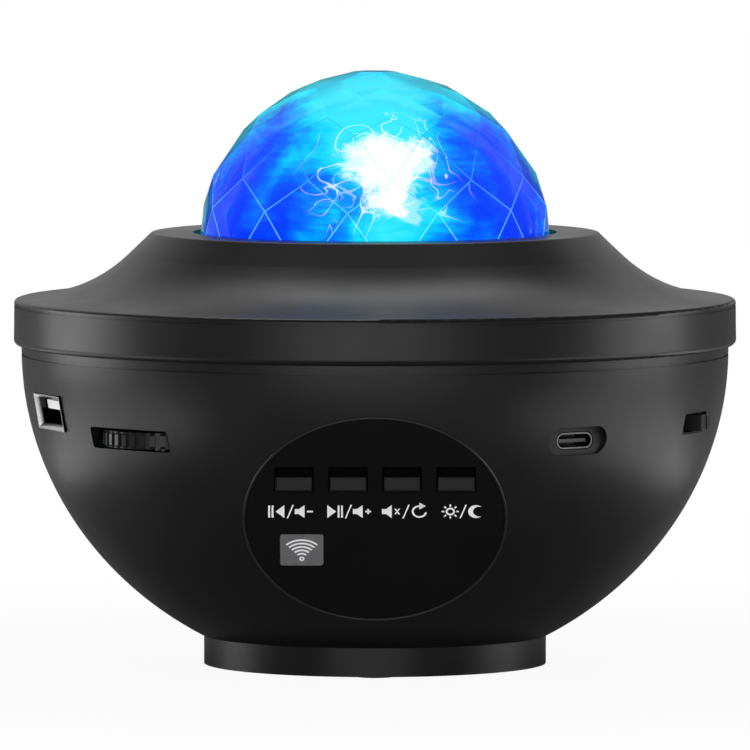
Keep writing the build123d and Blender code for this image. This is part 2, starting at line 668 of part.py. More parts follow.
def top_cover():
    """Flared cover with its skirt, the dome's bore, and screw bosses for the chassis and retainer."""
    outer = cover_form(0, RIM_RADIUS + SKIRT_DRAFT, (EDGE_ROUND, EDGE_ROUND, SKIRT_ROUND))
    void = cover_form(COVER_WALL, RIM_RADIUS - COVER_WALL, (EDGE_ROUND, EDGE_ROUND, 0))
    void -= disc(RIM_RADIUS, SKIRT_BOTTOM_Z - OVERCUT, SKIRT_BOTTOM_Z)
    shell = outer - void - disc(BOWL_RADIUS + SKIRT_GAP, SKIRT_BOTTOM_Z - OVERCUT, LIP_TOP_Z)
    boss_radius = LARGE_SHANK + BOSS_WALL
    bosses = [at(a, COVER_SCREW_CIRCLE) * disc(boss_radius, DECK_TOP_Z, COLLAR_Z) for a in CORNERS]
    lugs = [at(a, RETAINER_SCREW_CIRCLE) * disc(LUG_RADIUS, FLANGE_Z, COLLAR_Z) for a in CORNERS]
    core = cover_form(EDGE_ROUND, RIM_RADIUS - EDGE_ROUND, (EDGE_ROUND, EDGE_ROUND, 0))
    shell += [core & boss for boss in bosses + lugs]
    shell -= disc(DOME_BORE, FLANGE_Z - OVERCUT, COLLAR_Z + OVERCUT)
    roof_z = cover_height_at(COVER_SCREW_CIRCLE, 0) - BOSS_ROOF
    large = disc(LARGE_SHANK + PILOT_GAP, DECK_TOP_Z - OVERCUT, roof_z)
    small = disc(SMALL_SHANK + PILOT_GAP, FLANGE_Z - OVERCUT, FLANGE_Z + RETAINER_SCREW_BITE + PLATE_GAP)
    pilots = [at(a, COVER_SCREW_CIRCLE) * large for a in CORNERS]
    pilots += [at(a, RETAINER_SCREW_CIRCLE) * small for a in CORNERS]
    seam_top = RIM_Z - EDGE_ROUND - PLATE_GAP
    seam = ring(RIM_RADIUS + OVERCUT, RIM_RADIUS - SEAM_DEPTH, seam_top - SEAM_HEIGHT, seam_top)
    return shell - pilots - seam


# Foot ---------------------------------------------------------------------------------------

SCREW_SEAT_Z = FOOT_PLATE_Z + FOOT_PLATE


def base_cover():
    """Shallow foot: a plate with the sound grille, an upright wall and four screw bosses."""
    plate_top = FOOT_PLATE_Z + FOOT_PLATE
    shell = disc(FOOT_RADIUS, FOOT_RIM_Z, FLOOR_Z)
    shell -= disc(FOOT_RADIUS - FOOT_WALL, plate_top, FLOOR_Z + OVERCUT)
    shell -= disc(FOOT_RADIUS - FOOT_WALL, 0, FOOT_PLATE_Z)
    inside = disc(FOOT_RADIUS, FOOT_PLATE_Z, FLOOR_Z)
    boss = disc(LARGE_HEAD + FOOT_BOSS_WALL, FOOT_PLATE_Z, FLOOR_Z)
    shell += [inside & (at(a, LEG_CIRCLE) * boss) for a in CORNERS]
    hole = disc(LARGE_SHANK + SCREW_GAP, 0, FLOOR_Z + OVERCUT)
    cuts = grille_slots() + [at(a, LEG_CIRCLE) * hole for a in CORNERS]
    cuts += [at(a, LEG_CIRCLE) * disc(LARGE_HEAD + SCREW_GAP, 0, SCREW_SEAT_Z) for a in CORNERS]
    cuts += [at(a, PAD_CIRCLE) * disc(PAD_RADIUS + PLATE_GAP, 0, PAD_HEIGHT) for a in QUARTERS]
    return shell - cuts


def grille_slots():
    """Parallel round-ended slots inside the grille's circle."""
    count = int(GRILLE_RADIUS / GRILLE_PITCH)
    slots = []
    for row in range(-count, count + 1):
        offset = row * GRILLE_PITCH
        length = 2 * sqrt(GRILLE_RADIUS ** 2 - offset ** 2)
        slot = Pos(0, offset, FOOT_PLATE_Z - OVERCUT) * SlotOverall(length, GRILLE_SLOT)
        slots.append(extrude(slot, amount=FOOT_PLATE + 2 * OVERCUT))
    return slots


def rubber_feet():
    """Four round pads let into the foot's plate."""
    pad = disc(PAD_RADIUS, 0, PAD_HEIGHT)
    pad = chamfer(pad.edges().group_by(Axis.Z)[0], PAD_EDGE)
    return group([at(a, PAD_CIRCLE) * pad for a in QUARTERS])


def base_screws():
    """Long screws through the foot and the bowl's floor into the chassis legs."""
    length = FLOOR_TOP_Z - SCREW_SEAT_Z + BASE_SCREW_BITE
    return group([at(a, LEG_CIRCLE) * screw(LARGE_SCREW, length, SCREW_SEAT_Z) for a in CORNERS])


# Control panel ------------------------------------------------------------------------------

def control_panel_plate():
    """Thin oval plate with openings for the keys and the receiver window."""
    plate = panel_oval(PANEL_RIM + PLATE_GAP, PLATE_THICKNESS, PLATE_THICKNESS)
    window = panel_window(WINDOW_WIDTH + 2 * PLATE_GAP, WINDOW_HEIGHT + 2 * PLATE_GAP,
                          PLATE_THICKNESS + OVERCUT, PLATE_THICKNESS + 2 * OVERCUT)
    return plate - key_slots(KEY_GAP + PLATE_GAP) - window


def receiver_window():
    """Smoky window let into the plate and seated on a ledge in the bowl's wall."""
    depth = PLATE_THICKNESS + WINDOW_THICKNESS / 2
    return panel_window(WINDOW_WIDTH, WINDOW_HEIGHT, depth, depth - PLATE_GAP)


def key(x):
    """Stepped key: a nose that stands out of the panel, and a flange behind its guide."""
    half_w, low, high = KEY_WIDTH / 2, KEY_Z - KEY_HEIGHT / 2, KEY_Z + KEY_HEIGHT / 2
    nose = block((-half_w, half_w), (KEY_NOSE_Y, KEY_STEP_Y), (low, low + KEY_NOSE_HEIGHT))
    nose = fillet(nose.edges().group_by(Axis.Y)[0], KEY_EDGE)
    stem = block((-half_w, half_w), (KEY_STEP_Y, KEY_GUIDE_Y), (low, high))
    lip = KEY_FLANGE_LIP + KEY_GAP
    start = KEY_GUIDE_Y + RUNNING_GAP / 2
    flange = block((-half_w - lip, half_w + lip), (start, KEY_GUIDE_Y + KEY_FLANGE), (low - lip, high + lip))
    neck = block((-half_w, half_w), (KEY_GUIDE_Y - OVERCUT, start + PLATE_GAP), (low, high))
    return Pos(x, 0, 0) * (nose + stem + neck + flange)


def plunger(x):
    """Round plunger of a tact switch, touching the back of its key."""
    start = KEY_GUIDE_Y + KEY_FLANGE
    pin = disc(PLUNGER_RADIUS, 0, KEY_TRAVEL + RUNNING_GAP + PLUNGER_DEPTH)
    return Pos(x, start, KEY_Z) * Rot(-90, 0, 0) * pin


def tact_switches():
    """Square switch bodies on the key board, each with a well for its plunger."""
    half = SWITCH_SIZE / 2
    face = KEY_BOARD_Y - SWITCH_DEPTH
    body = block((-half, half), (face, KEY_BOARD_Y), (KEY_Z - half, KEY_Z + half))
    body = chamfer(body.edges().filter_by(Axis.Y), SWITCH_EDGE)
    well = disc(PLUNGER_RADIUS + RUNNING_GAP, -OVERCUT, PLUNGER_DEPTH + KEY_TRAVEL)
    well = Pos(0, face, KEY_Z) * Rot(-90, 0, 0) * well
    return group([Pos(x, 0, 0) * (body - well) for x in KEY_XS])


def key_board():
    """Upright board behind the keys."""
    half = KEY_BOARD_WIDTH / 2
    back = KEY_BOARD_Y + KEY_BOARD
    board = block((-half, half), (KEY_BOARD_Y, back), (KEY_BOARD_BOTTOM_Z, KEY_Z + KEY_BOARD_RISE))
    board = chamfer(board.edges().filter_by(Axis.Y), KEY_BOARD_CORNER)
    hole = disc(SMALL_SHANK + SCREW_GAP, -OVERCUT, KEY_BOARD + OVERCUT)
    hole = Pos(0, KEY_BOARD_Y, KEY_Z) * Rot(-90, 0, 0) * hole
    return board - [Pos(side * KEY_BOSS_X, 0, 0) * hole for side in (-1, 1)]


def key_board_screws():
    """Two screws that hold the key board on its bosses."""
    one = screw(SMALL_SCREW, KEY_BOARD + KEY_BOARD_SCREW_BITE, 0)
    one = Pos(0, KEY_BOARD_Y + KEY_BOARD, KEY_Z) * Rot(90, 0, 0) * one
    return group([Pos(side * KEY_BOSS_X, 0, 0) * one for side in (-1, 1)])


def ir_receiver():
    """Receiver hanging below the key board on its leads, with a domed lens towards the window."""
    depth, height = RECEIVER_BODY
    back = KEY_BOARD_Y + KEY_BOARD + depth
    top = KEY_BOARD_BOTTOM_Z - RECEIVER_DROP
    half = RECEIVER_WIDTH / 2
    body = block((-half, half), (back - depth, back), (top - height, top))
    lens_z = top - height / 2
    lens = Pos(0, back - depth, lens_z) * Sphere(RECEIVER_LENS)
    lead = block((-LEAD_WIDTH / 2, LEAD_WIDTH / 2), (back - depth, back - depth + LEAD_THICKNESS),
                 (top - OVERCUT, top + LEAD_REACH))
    leads = [Pos(x, 0, 0) * lead for x in (-LEAD_PITCH, 0, LEAD_PITCH)]
    return Pos(WINDOW_X, 0, 0) * fuse([body, lens] + leads)


# Volume thumbwheel --------------------------------------------------------------------------

def volume_wheel():
    """Thumbwheel with ribs round its rim and chamfered edges."""
    low, high = WHEEL_Z - WHEEL_THICKNESS / 2, WHEEL_Z + WHEEL_THICKNESS / 2
    wheel = disc(WHEEL_RADIUS, low, high)
    wheel = chamfer(wheel.edges(), WHEEL_EDGE)
    quarter = pi * WHEEL_RADIUS / WHEEL_RIBS / 2
    notch = block((-quarter, quarter), (-WHEEL_RADIUS - OVERCUT, -WHEEL_RADIUS + WHEEL_RIB_DEPTH),
                  (low - OVERCUT, high + OVERCUT))
    wheel -= [Rot(0, 0, i * 360 / WHEEL_RIBS) * notch for i in range(WHEEL_RIBS)]
    wheel -= ring(WHEEL_RADIUS - WHEEL_TYRE, POT_SHAFT_RADIUS + WHEEL_HUB, high - WHEEL_DISH, high + OVERCUT)
    wheel -= disc(POT_SHAFT_RADIUS, low - OVERCUT, high + OVERCUT)
    return at(WHEEL_AZIMUTH, WHEEL_CENTRE_R) * wheel


def pot_shaft():
    """Shaft of the volume potentiometer, pushed into the wheel."""
    shaft = disc(POT_SHAFT_RADIUS, BOARD_Z - POT_HEIGHT + POT_FLOOR, WHEEL_Z + WHEEL_THICKNESS / 2)
    return at(WHEEL_AZIMUTH, WHEEL_CENTRE_R) * shaft


def pot_body():
    """Potentiometer hung under the board's edge on its mounting tongue."""
    body = disc(POT_RADIUS, BOARD_Z - POT_HEIGHT, BOARD_Z)
    inner = WHEEL_RADIUS + WHEEL_CLEARANCE + POT_TONGUE_REACH
    half = POT_TONGUE_WIDTH / 2
    body += block((-half, half), (0, inner), (BOARD_Z - POT_TONGUE, BOARD_Z))
    body -= disc(POT_SHAFT_RADIUS + RUNNING_GAP, BOARD_Z - POT_HEIGHT + POT_FLOOR, BOARD_Z + OVERCUT)
    return at(WHEEL_AZIMUTH, WHEEL_CENTRE_R) * body


# Main board ---------------------------------------------------------------------------------

def main_board():
    """Round board with a bite for the thumbwheel and a straight front behind the keys."""
    low, high = BOARD_Z - OVERCUT, BOARD_TOP_Z + OVERCUT
    board = disc(BOARD_RADIUS, BOARD_Z, BOARD_TOP_Z)
    board -= block((-BOARD_RADIUS, BOARD_RADIUS), (-BOARD_RADIUS, BOARD_FRONT_Y), (low, high))
    half = WHEEL_RADIUS + WHEEL_CLEARANCE
    bite = disc(half, low, high) + block((-half, half), (-half, 0), (low, high))
    cuts = [at(WHEEL_AZIMUTH, WHEEL_CENTRE_R) * bite]
    cuts += [at(a, LEG_CIRCLE) * disc(LEG_RADIUS + SCREW_GAP, low, high) for a in CORNERS]
    cuts += [at(a, POST_CIRCLE) * disc(SMALL_SHANK + SCREW_GAP, low, high) for a in POST_AZIMUTHS]
    return board - cuts


def main_board_screws():
    """Screws from above into the board's posts."""
    one = Rot(180, 0, 0) * Pos(0, 0, -BOARD_TOP_Z) * screw(SMALL_SCREW, BOARD_THICKNESS + BOARD_SCREW_BITE, 0)
    return group([at(a, POST_CIRCLE) * one for a in POST_AZIMUTHS])


def board_chips():
    """Controller, amplifier, radio module and motor driver on the board."""
    return group([block(xs, ys, (BOARD_TOP_Z, BOARD_TOP_Z + height)) for xs, ys, height in CHIPS])


def board_capacitors():
    """Upright electrolytic capacitors on the board."""
    cans = []
    for x, y, radius, height in CAPACITORS:
        can = disc(radius, BOARD_TOP_Z, BOARD_TOP_Z + height)
        cans.append(Pos(x, y, 0) * chamfer(can.edges().group_by(Axis.Z)[-1], CAN_EDGE))
    return group(cans)


# Sockets ------------------------------------------------------------------------------------

def usb_a_shell():
    """Folded metal shell of the USB-A socket with a flared mouth."""
    inner_w, inner_h = USB_A_INNER
    wall = 2 * USB_A_SHELL
    shell = Pos(0, 0, -USB_A_DEPTH / 2) * Box(inner_w + wall, inner_h + wall, USB_A_DEPTH)
    mouth = loft([Rectangle(inner_w + wall, inner_h + wall).face(),
                  (Pos(0, 0, USB_A_FLARE_DEPTH) * Rectangle(*USB_A_FLARE)).face()])
    cavity = Pos(0, 0, -USB_A_DEPTH / 2 + USB_A_SHELL) * Box(inner_w, inner_h, USB_A_DEPTH)
    flare = [size - wall for size in USB_A_FLARE]
    funnel = loft([Rectangle(inner_w, inner_h).face(),
                   (Pos(0, 0, USB_A_FLARE_DEPTH) * Rectangle(*flare)).face()])
    whole = (shell + Pos(0, 0, -USB_A_FLARE_DEPTH) * mouth) - cavity - Pos(0, 0, -USB_A_FLARE_DEPTH) * funnel
    return USB_A_PLANE.location * whole


def usb_a_tongue():
    """Pale tongue in the upper half of the socket."""
    width, height = USB_A_TONGUE
    back = -USB_A_DEPTH + USB_A_SHELL
    across = (-width / 2, width / 2)
    low = USB_A_TONGUE_OFFSET - height / 2
    half_h = USB_A_INNER[1] / 2
    tongue = block(across, (low, low + height), (back, back + USB_A_TONGUE_LENGTH))
    root = block(across, (-half_h, half_h), (back, back + USB_A_ROOT))
    return USB_A_PLANE.location * (tongue + root)


def usb_a_contacts():
    """Four springy contacts under the tongue."""
    low = USB_A_TONGUE_OFFSET - USB_A_TONGUE[1] / 2
    back = -USB_A_DEPTH + USB_A_SHELL + USB_A_ROOT
    width, thickness, length = USB_A_CONTACT
    strips = [block((x - width / 2, x + width / 2), (low - thickness, low), (back, back + length))
              for x in (-USB_A_CONTACT_OUTER, -USB_A_CONTACT_INNER, USB_A_CONTACT_INNER, USB_A_CONTACT_OUTER)]
    return USB_A_PLANE.location * group(strips)


def usb_board():
    """Small board across the back of the USB-A socket, held in two grooved rails."""
    width, height, thickness = USB_BOARD
    return USB_A_PLANE.location * (Pos(0, 0, -USB_A_DEPTH - thickness / 2) * Box(width, height, thickness))


USB_C_BACK_R = bowl_radius_at(USB_C_Z) - USB_C_POCKET_DEPTH - PLATE_GAP - USB_C_LENGTH


def usb_c_shell():
    """Rounded metal shell of the USB-C socket, closed at its back."""
    inner = [size - 2 * USB_C_SHELL_WALL for size in USB_C_SHELL]
    shell = radial_slot(USB_C_SHELL, USB_C_BACK_R, USB_C_LENGTH)
    shell -= radial_slot(inner, USB_C_BACK_R + USB_C_BACK, USB_C_LENGTH)
    width, depth = USB_C_FOOT
    foot_x = USB_C_SHELL[0] / 2 - width / 2
    feet = [block((x - width / 2, x + width / 2), (-USB_C_BACK_R - 2 * depth, -USB_C_BACK_R - depth),
                  (-USB_C_SHELL[1] / 2 - USB_C_LIFT, -USB_C_SHELL[1] / 4)) for x in (-foot_x, foot_x)]
    shell += [foot - radial_slot(inner, USB_C_BACK_R - OVERCUT, USB_C_LENGTH) for foot in feet]
    return Rot(0, 0, USB_C_AZIMUTH) * Pos(0, 0, USB_C_Z) * shell


def usb_c_tongue():
    """Thin centre tongue of the USB-C socket."""
    back = USB_C_BACK_R + USB_C_BACK
    width, height = USB_C_TONGUE
    length = USB_C_LENGTH - 2 * USB_C_BACK
    tongue = block((-width / 2, width / 2), (-back - length, -back), (-height / 2, height / 2))
    root = radial_slot([size - 2 * USB_C_SHELL_WALL for size in USB_C_SHELL], back, USB_C_ROOT)
    return Rot(0, 0, USB_C_AZIMUTH) * Pos(0, 0, USB_C_Z) * (tongue + root)


# Power slide switch -------------------------------------------------------------------------

def slide_switch_knob():
    """Knob with a nub through the window, a dust shield behind it and a tail into the switch."""
    rest = SLIDER_TRAVEL / 2
    face_r = SLIDER_BODY_FACE_R + PLATE_GAP
    length, height = SLIDER_NUB
    nub_r = bowl_radius_at(SLIDER_Z) + SLIDER_NUB_OUT
    nub = block((rest - length / 2, rest + length / 2), (-nub_r, -face_r), (-height / 2, height / 2))
    nub = fillet(nub.edges().group_by(Axis.Y)[0], SLIDER_EDGE)
    mark, depth = SLIDER_MARK
    nub -= block((rest - mark / 2, rest + mark / 2), (-nub_r - OVERCUT, -nub_r + depth), (-height, height))
    half_w, half_h = SHIELD_HALF
    shield = block((rest - half_w, rest + half_w), (-face_r - SHIELD_THICKNESS, -face_r), (-half_h, half_h))
    tail_w, tail_h, tail_depth = TAIL
    tail = block((rest - tail_w / 2, rest + tail_w / 2), (-face_r - SHIELD_THICKNESS, -face_r + tail_depth),
                 (-tail_h / 2, tail_h / 2))
    return Rot(0, 0, SLIDER_AZIMUTH) * Pos(0, 0, SLIDER_Z) * (nub + shield + tail)


def slide_switch_body():
    """Switch on the board's edge with a channel for the knob's tail."""
    width, depth = SLIDER_BODY
    top = SLIDER_Z + SHIELD_HALF[1]
    front = -SLIDER_BODY_FACE_R
    body = block((-width / 2, width / 2), (front, front + depth), (BOARD_TOP_Z, top))
    tail_w, tail_h, tail_depth = TAIL
    reach = (tail_w + SLIDER_TRAVEL) / 2 + PLATE_GAP
    half_h = tail_h / 2 + RUNNING_GAP
    body -= block((-reach, reach), (front - OVERCUT, front + tail_depth),
                  (SLIDER_Z - half_h, SLIDER_Z + half_h))
    return Rot(0, 0, SLIDER_AZIMUTH) * body


# Faceted dome -------------------------------------------------------------------------------

def facet_latitudes():
    """Latitudes of the corners up the dome: each facet's top is where its plane meets the sphere again."""
    half = pi / DOME_SIDES
    lower, upper = radians(APEX_LATITUDE), radians(SHOULDER_LATITUDE)
    corners = [other_end((cos(upper), sin(upper)), (cos(lower) * cos(half), sin(lower))), lower, upper]
    for _ in range(FACET_RINGS):
        bottom = (cos(corners[-2]), sin(corners[-2]))
        side = (cos(corners[-1]) * cos(half), sin(corners[-1]))
        corners.append(other_end(bottom, side))
    return corners


def other_end(start, through):
    """Latitude where the chord from start through a point leaves the unit circle."""
    dr, dz = through[0] - start[0], through[1] - start[1]
    t = -2 * (start[0] * dr + start[1] * dz) / (dr * dr + dz * dz)
    return atan2(start[1] + t * dz, start[0] + t * dr)


def facet_planes():
    """Planes that cut the dome: staggered rings of kites, a crown of six and a small table."""
    corners = facet_latitudes()
    planes = []
    half_step = 180 / DOME_SIDES
    first = other_end((cos(corners[1]), sin(corners[1])),
                      (cos(corners[0]) * cos(radians(half_step)), sin(corners[0])))
    ends = [(first, corners[1])] + [(low, high) for low, high in zip(corners, corners[2:])]
    for level, (low, high) in enumerate(ends):
        tilt, depth = (low + high) / 2, DOME_RADIUS * cos((high - low) / 2)
        for i in range(DOME_SIDES):
            planes.append(facet_plane(DOME_PHASE + (2 * i + level % 2) * half_step, tilt, depth))
    for i in range(CROWN_SIDES):
        planes.append(facet_plane(DOME_PHASE + i * 360 / CROWN_SIDES, radians(CROWN_LATITUDE),
                                  DOME_RADIUS * CROWN_DEPTH))
    return planes


def facet_plane(azimuth, latitude, depth):
    """Plane at a depth from the dome's centre, facing an azimuth and a latitude in radians."""
    normal = outwards(azimuth) * cos(latitude) + Vector(0, 0, sin(latitude))
    return Plane(origin=normal * depth + Vector(0, 0, DOME_CENTRE_Z), z_dir=normal)


def dome_lens():
    """Clear dome: flat facets outside, a smooth sphere inside, and a flange under the collar."""
    gem = disc(DOME_RADIUS + OVERCUT, COLLAR_UNDER_Z, DOME_CENTRE_Z + DOME_RADIUS)
    for plane in facet_planes():
        gem = split(gem, bisect_by=plane, keep=Keep.BOTTOM)
    flange = disc(DOME_FLANGE_RADIUS, FLANGE_Z, COLLAR_UNDER_Z)
    hollow = Pos(0, 0, DOME_CENTRE_Z) * Sphere(DOME_INNER_RADIUS)
    return gem + flange - hollow - disc(DOME_INNER_RADIUS, FLANGE_Z - DOME_DROP, DOME_CENTRE_Z)


def dome_retainer_ring():
    """Ring that clamps the dome's flange up against the collar."""
    body = ring(RETAINER_RADIUS, DOME_INNER_RADIUS + RETAINER_OPENING, RETAINER_Z, FLANGE_Z)
    hole = disc(SMALL_SHANK + SCREW_GAP, RETAINER_Z - OVERCUT, FLANGE_Z + OVERCUT)
    return body - [at(a, RETAINER_SCREW_CIRCLE) * hole for a in CORNERS]


def retainer_screws():
    """Screws from below through the retaining ring."""
    one = screw(SMALL_SCREW, RETAINER_THICKNESS + RETAINER_SCREW_BITE, RETAINER_Z)
    return group([at(a, RETAINER_SCREW_CIRCLE) * one for a in CORNERS])


# Chassis ------------------------------------------------------------------------------------

GEAR_CENTRE = GEAR_MODULE * (RIPPLE_TEETH + PINION_TEETH) / 2
GEAR_HIGH_Z = RETAINER_Z - GEAR_DROP
GEAR_LOW_Z = GEAR_HIGH_Z - GEAR_FACE
SHOULDER_Z = GEAR_LOW_Z - GEAR_REST
BEARING_TOP_Z = GEAR_HIGH_Z - GEAR_REST
MOTOR_AZIMUTH = 180.0


def chassis_frame():
    """Deck with four arms, legs down to the floor, and the collar that the ripple gear turns on."""
    frame = disc(DECK_RADIUS, DECK_Z, DECK_TOP_Z)
    half = ARM_WIDTH / 2
    reach = COVER_SCREW_CIRCLE + ARM_TIP
    arm = block((-half, half), (-reach, -DECK_RADIUS + ARM_ROOT), (DECK_Z, DECK_TOP_Z))
    arm += block((-RIB_THICKNESS / 2, RIB_THICKNESS / 2), (-COVER_SCREW_CIRCLE + RIB_SETBACK, -LEG_CIRCLE),
                 (DECK_Z - RIB_HEIGHT, DECK_Z))
    frame += [Rot(0, 0, a) * arm for a in CORNERS]
    frame += [at(a, LEG_CIRCLE) * disc(LEG_RADIUS, FLOOR_TOP_Z, DECK_TOP_Z) for a in CORNERS]
    frame += disc(BEARING_RADIUS, DECK_TOP_Z, BEARING_TOP_Z)
    frame += disc(BEARING_RADIUS + SHOULDER_WIDTH, DECK_TOP_Z, SHOULDER_Z)
    frame -= disc(BEARING_RADIUS - BEARING_WALL, DECK_TOP_Z, BEARING_TOP_Z + OVERCUT)
    low, high = DECK_Z - OVERCUT, DECK_TOP_Z + OVERCUT
    frame -= disc(DECK_HOLE, low, high)
    leg_pilot = disc(LARGE_SHANK + PILOT_GAP, FLOOR_TOP_Z - OVERCUT,
                     FLOOR_TOP_Z + BASE_SCREW_BITE + OVERCUT)
    blind_pilot = disc(SMALL_SHANK + PILOT_GAP, low, DECK_TOP_Z - BLIND / 2)
    motor = at(MOTOR_AZIMUTH, GEAR_CENTRE)
    cuts = [at(a, LEG_CIRCLE) * leg_pilot for a in CORNERS]
    cuts += [at(a, COVER_SCREW_CIRCLE) * disc(LARGE_SHANK + SCREW_GAP, low, high) for a in CORNERS]
    cuts += [at(a, SINK_SCREW_CIRCLE) * blind_pilot for a in QUARTERS]
    cuts += [motor * ear * blind_pilot for ear in motor_ears()]
    cuts.append(motor * disc(MOTOR_PILOT_RADIUS + PLATE_GAP, low, high))
    return frame - cuts


def motor_ears():
    """Places of the two screws either side of the motor."""
    return [Pos(side * (MOTOR_EAR_REACH - MOTOR_EAR_HOLE), 0, 0) for side in (-1, 1)]


def chassis_screws():
    """Screws from below through the arms into the cover's bosses."""
    length = cover_height_at(COVER_SCREW_CIRCLE, 0) - COVER_SCREW_ROOF - DECK_Z
    return group([at(a, COVER_SCREW_CIRCLE) * screw(LARGE_SCREW, length, DECK_Z) for a in CORNERS])


# Gear train ---------------------------------------------------------------------------------

def half_tooth_angle(teeth, radius):
    """Half of a tooth's angle at a radius, from the involute of its base circle."""
    pitch_radius = GEAR_MODULE * teeth / 2
    pressure = radians(PRESSURE_ANGLE)
    base = pitch_radius * cos(pressure)
    local = acos(min(1.0, base / radius))
    at_pitch = pi / (2 * teeth) - BACKLASH / (4 * pitch_radius)
    return at_pitch + (tan(pressure) - pressure) - (tan(local) - local)


def gear_outline(teeth):
    """Closed outline of an involute gear with a tooth on the -Y side."""
    pitch_radius = GEAR_MODULE * teeth / 2
    root, tip = pitch_radius - 1.25 * GEAR_MODULE, pitch_radius + GEAR_MODULE
    radii = [root, (root + pitch_radius) / 2, pitch_radius, (pitch_radius + tip) / 2, tip]
    flank = [(radius, half_tooth_angle(teeth, radius)) for radius in radii]
    points = []
    for i in range(teeth):
        middle = 2 * pi * i / teeth
        for radius, half in flank:
            points.append((radius * sin(middle - half), -radius * cos(middle - half)))
        for radius, half in reversed(flank):
            points.append((radius * sin(middle + half), -radius * cos(middle + half)))
    return Polyline(*points, close=True)


RIPPLE_RADIUS = DOME_INNER_RADIUS - RIPPLE_GAP
RIPPLE_BORE = RIPPLE_RADIUS - RIPPLE_WALL
RIPPLE_SEAT_Z = GEAR_HIGH_Z + GEAR_FLANGE
PINION_TOP_Z = GEAR_HIGH_Z - PINION_HEADROOM
MOTOR_BACK_Z = DECK_Z - MOTOR_LENGTH


def ripple_gear():
    """Ring gear that turns on the bearing collar, with a flange and a lip that carry the ripple dome."""
    gear = extrude(Pos(0, 0, GEAR_LOW_Z) * make_face(gear_outline(RIPPLE_TEETH)), amount=GEAR_FACE)
    gear -= disc(BEARING_RADIUS + RUNNING_GAP, GEAR_LOW_Z - OVERCUT, GEAR_HIGH_Z + OVERCUT)
    lip_radius = RIPPLE_BORE - PLATE_GAP
    lip_bore = lip_radius - GEAR_LIP_WALL
    flange_bore = min(lip_bore, BEARING_RADIUS + SHOULDER_WIDTH)
    gear += ring(RIPPLE_RADIUS, flange_bore, GEAR_HIGH_Z, RIPPLE_SEAT_Z)
    gear += ring(lip_radius, lip_bore, RIPPLE_SEAT_Z, RIPPLE_SEAT_Z + GEAR_LIP_HEIGHT)
    return Rot(0, 0, MOTOR_AZIMUTH) * gear


def ripple_form(radius):
    """Solid half sphere on a short upright wall that stands on the gear's flange."""
    form = Pos(0, 0, DOME_CENTRE_Z) * Sphere(radius) + disc(radius, RIPPLE_SEAT_Z, DOME_CENTRE_Z)
    return form - disc(radius + OVERCUT, DOME_CENTRE_Z - radius - OVERCUT, RIPPLE_SEAT_Z)


def ripple_dome():
    """Clear dome with a rim seated on the gear; its ripples scatter the light."""
    return ripple_form(RIPPLE_RADIUS) - ripple_form(RIPPLE_BORE)


def drive_pinion():
    """Small gear on the motor shaft, in mesh with the ripple gear and clear of its flange."""
    face = Pos(0, 0, GEAR_LOW_Z) * make_face(gear_outline(PINION_TEETH))
    gear = extrude(face, amount=PINION_TOP_Z - GEAR_LOW_Z)
    gear += disc(MOTOR_SHAFT_RADIUS + PINION_HUB_WALL, DECK_TOP_Z + PINION_HUB_RISE, GEAR_LOW_Z)
    gear -= disc(MOTOR_SHAFT_RADIUS, DECK_TOP_Z, PINION_TOP_Z + OVERCUT)
    return at(MOTOR_AZIMUTH, GEAR_CENTRE) * Rot(0, 0, 180 / PINION_TEETH + 180) * gear


def motor_shaft():
    """Output shaft of the drive motor, pressed into the pinion."""
    return at(MOTOR_AZIMUTH, GEAR_CENTRE) * disc(MOTOR_SHAFT_RADIUS, MOTOR_BACK_Z + MOTOR_BACK, PINION_TOP_Z)


def drive_motor():
    """Flat geared motor hung under the deck by two ears."""
    body = disc(MOTOR_RADIUS, MOTOR_BACK_Z, DECK_Z)
    body = chamfer(body.edges().group_by(Axis.Z)[0], MOTOR_EDGE)
    length = 2 * MOTOR_EAR_REACH + MOTOR_EAR_WIDTH - 2 * MOTOR_EAR_HOLE
    body += extrude(Pos(0, 0, DECK_Z - MOTOR_EAR) * SlotOverall(length, MOTOR_EAR_WIDTH), amount=MOTOR_EAR)
    pilot_top = DECK_TOP_Z + MOTOR_PILOT_RISE
    body += disc(MOTOR_PILOT_RADIUS, DECK_Z, pilot_top)
    body -= disc(MOTOR_SHAFT_RADIUS + RUNNING_GAP, MOTOR_BACK_Z + MOTOR_BACK, pilot_top + OVERCUT)
    hole = disc(SMALL_SHANK + SCREW_GAP, DECK_Z - MOTOR_EAR - OVERCUT, DECK_Z + OVERCUT)
    return at(MOTOR_AZIMUTH, GEAR_CENTRE) * (body - [ear * hole for ear in motor_ears()])


def motor_screws():
    """Two short screws through the motor's ears."""
    one = screw(SMALL_SCREW, MOTOR_EAR + DECK_THICKNESS - BLIND, DECK_Z - MOTOR_EAR)
    return group([at(MOTOR_AZIMUTH, GEAR_CENTRE) * ear * one for ear in motor_ears()])


# Light engine -------------------------------------------------------------------------------

HOLDER_TOP_Z = DECK_Z + LED_BOARD + LED_HEIGHT + COLLIMATOR_HEIGHT + 2 * PLATE_GAP


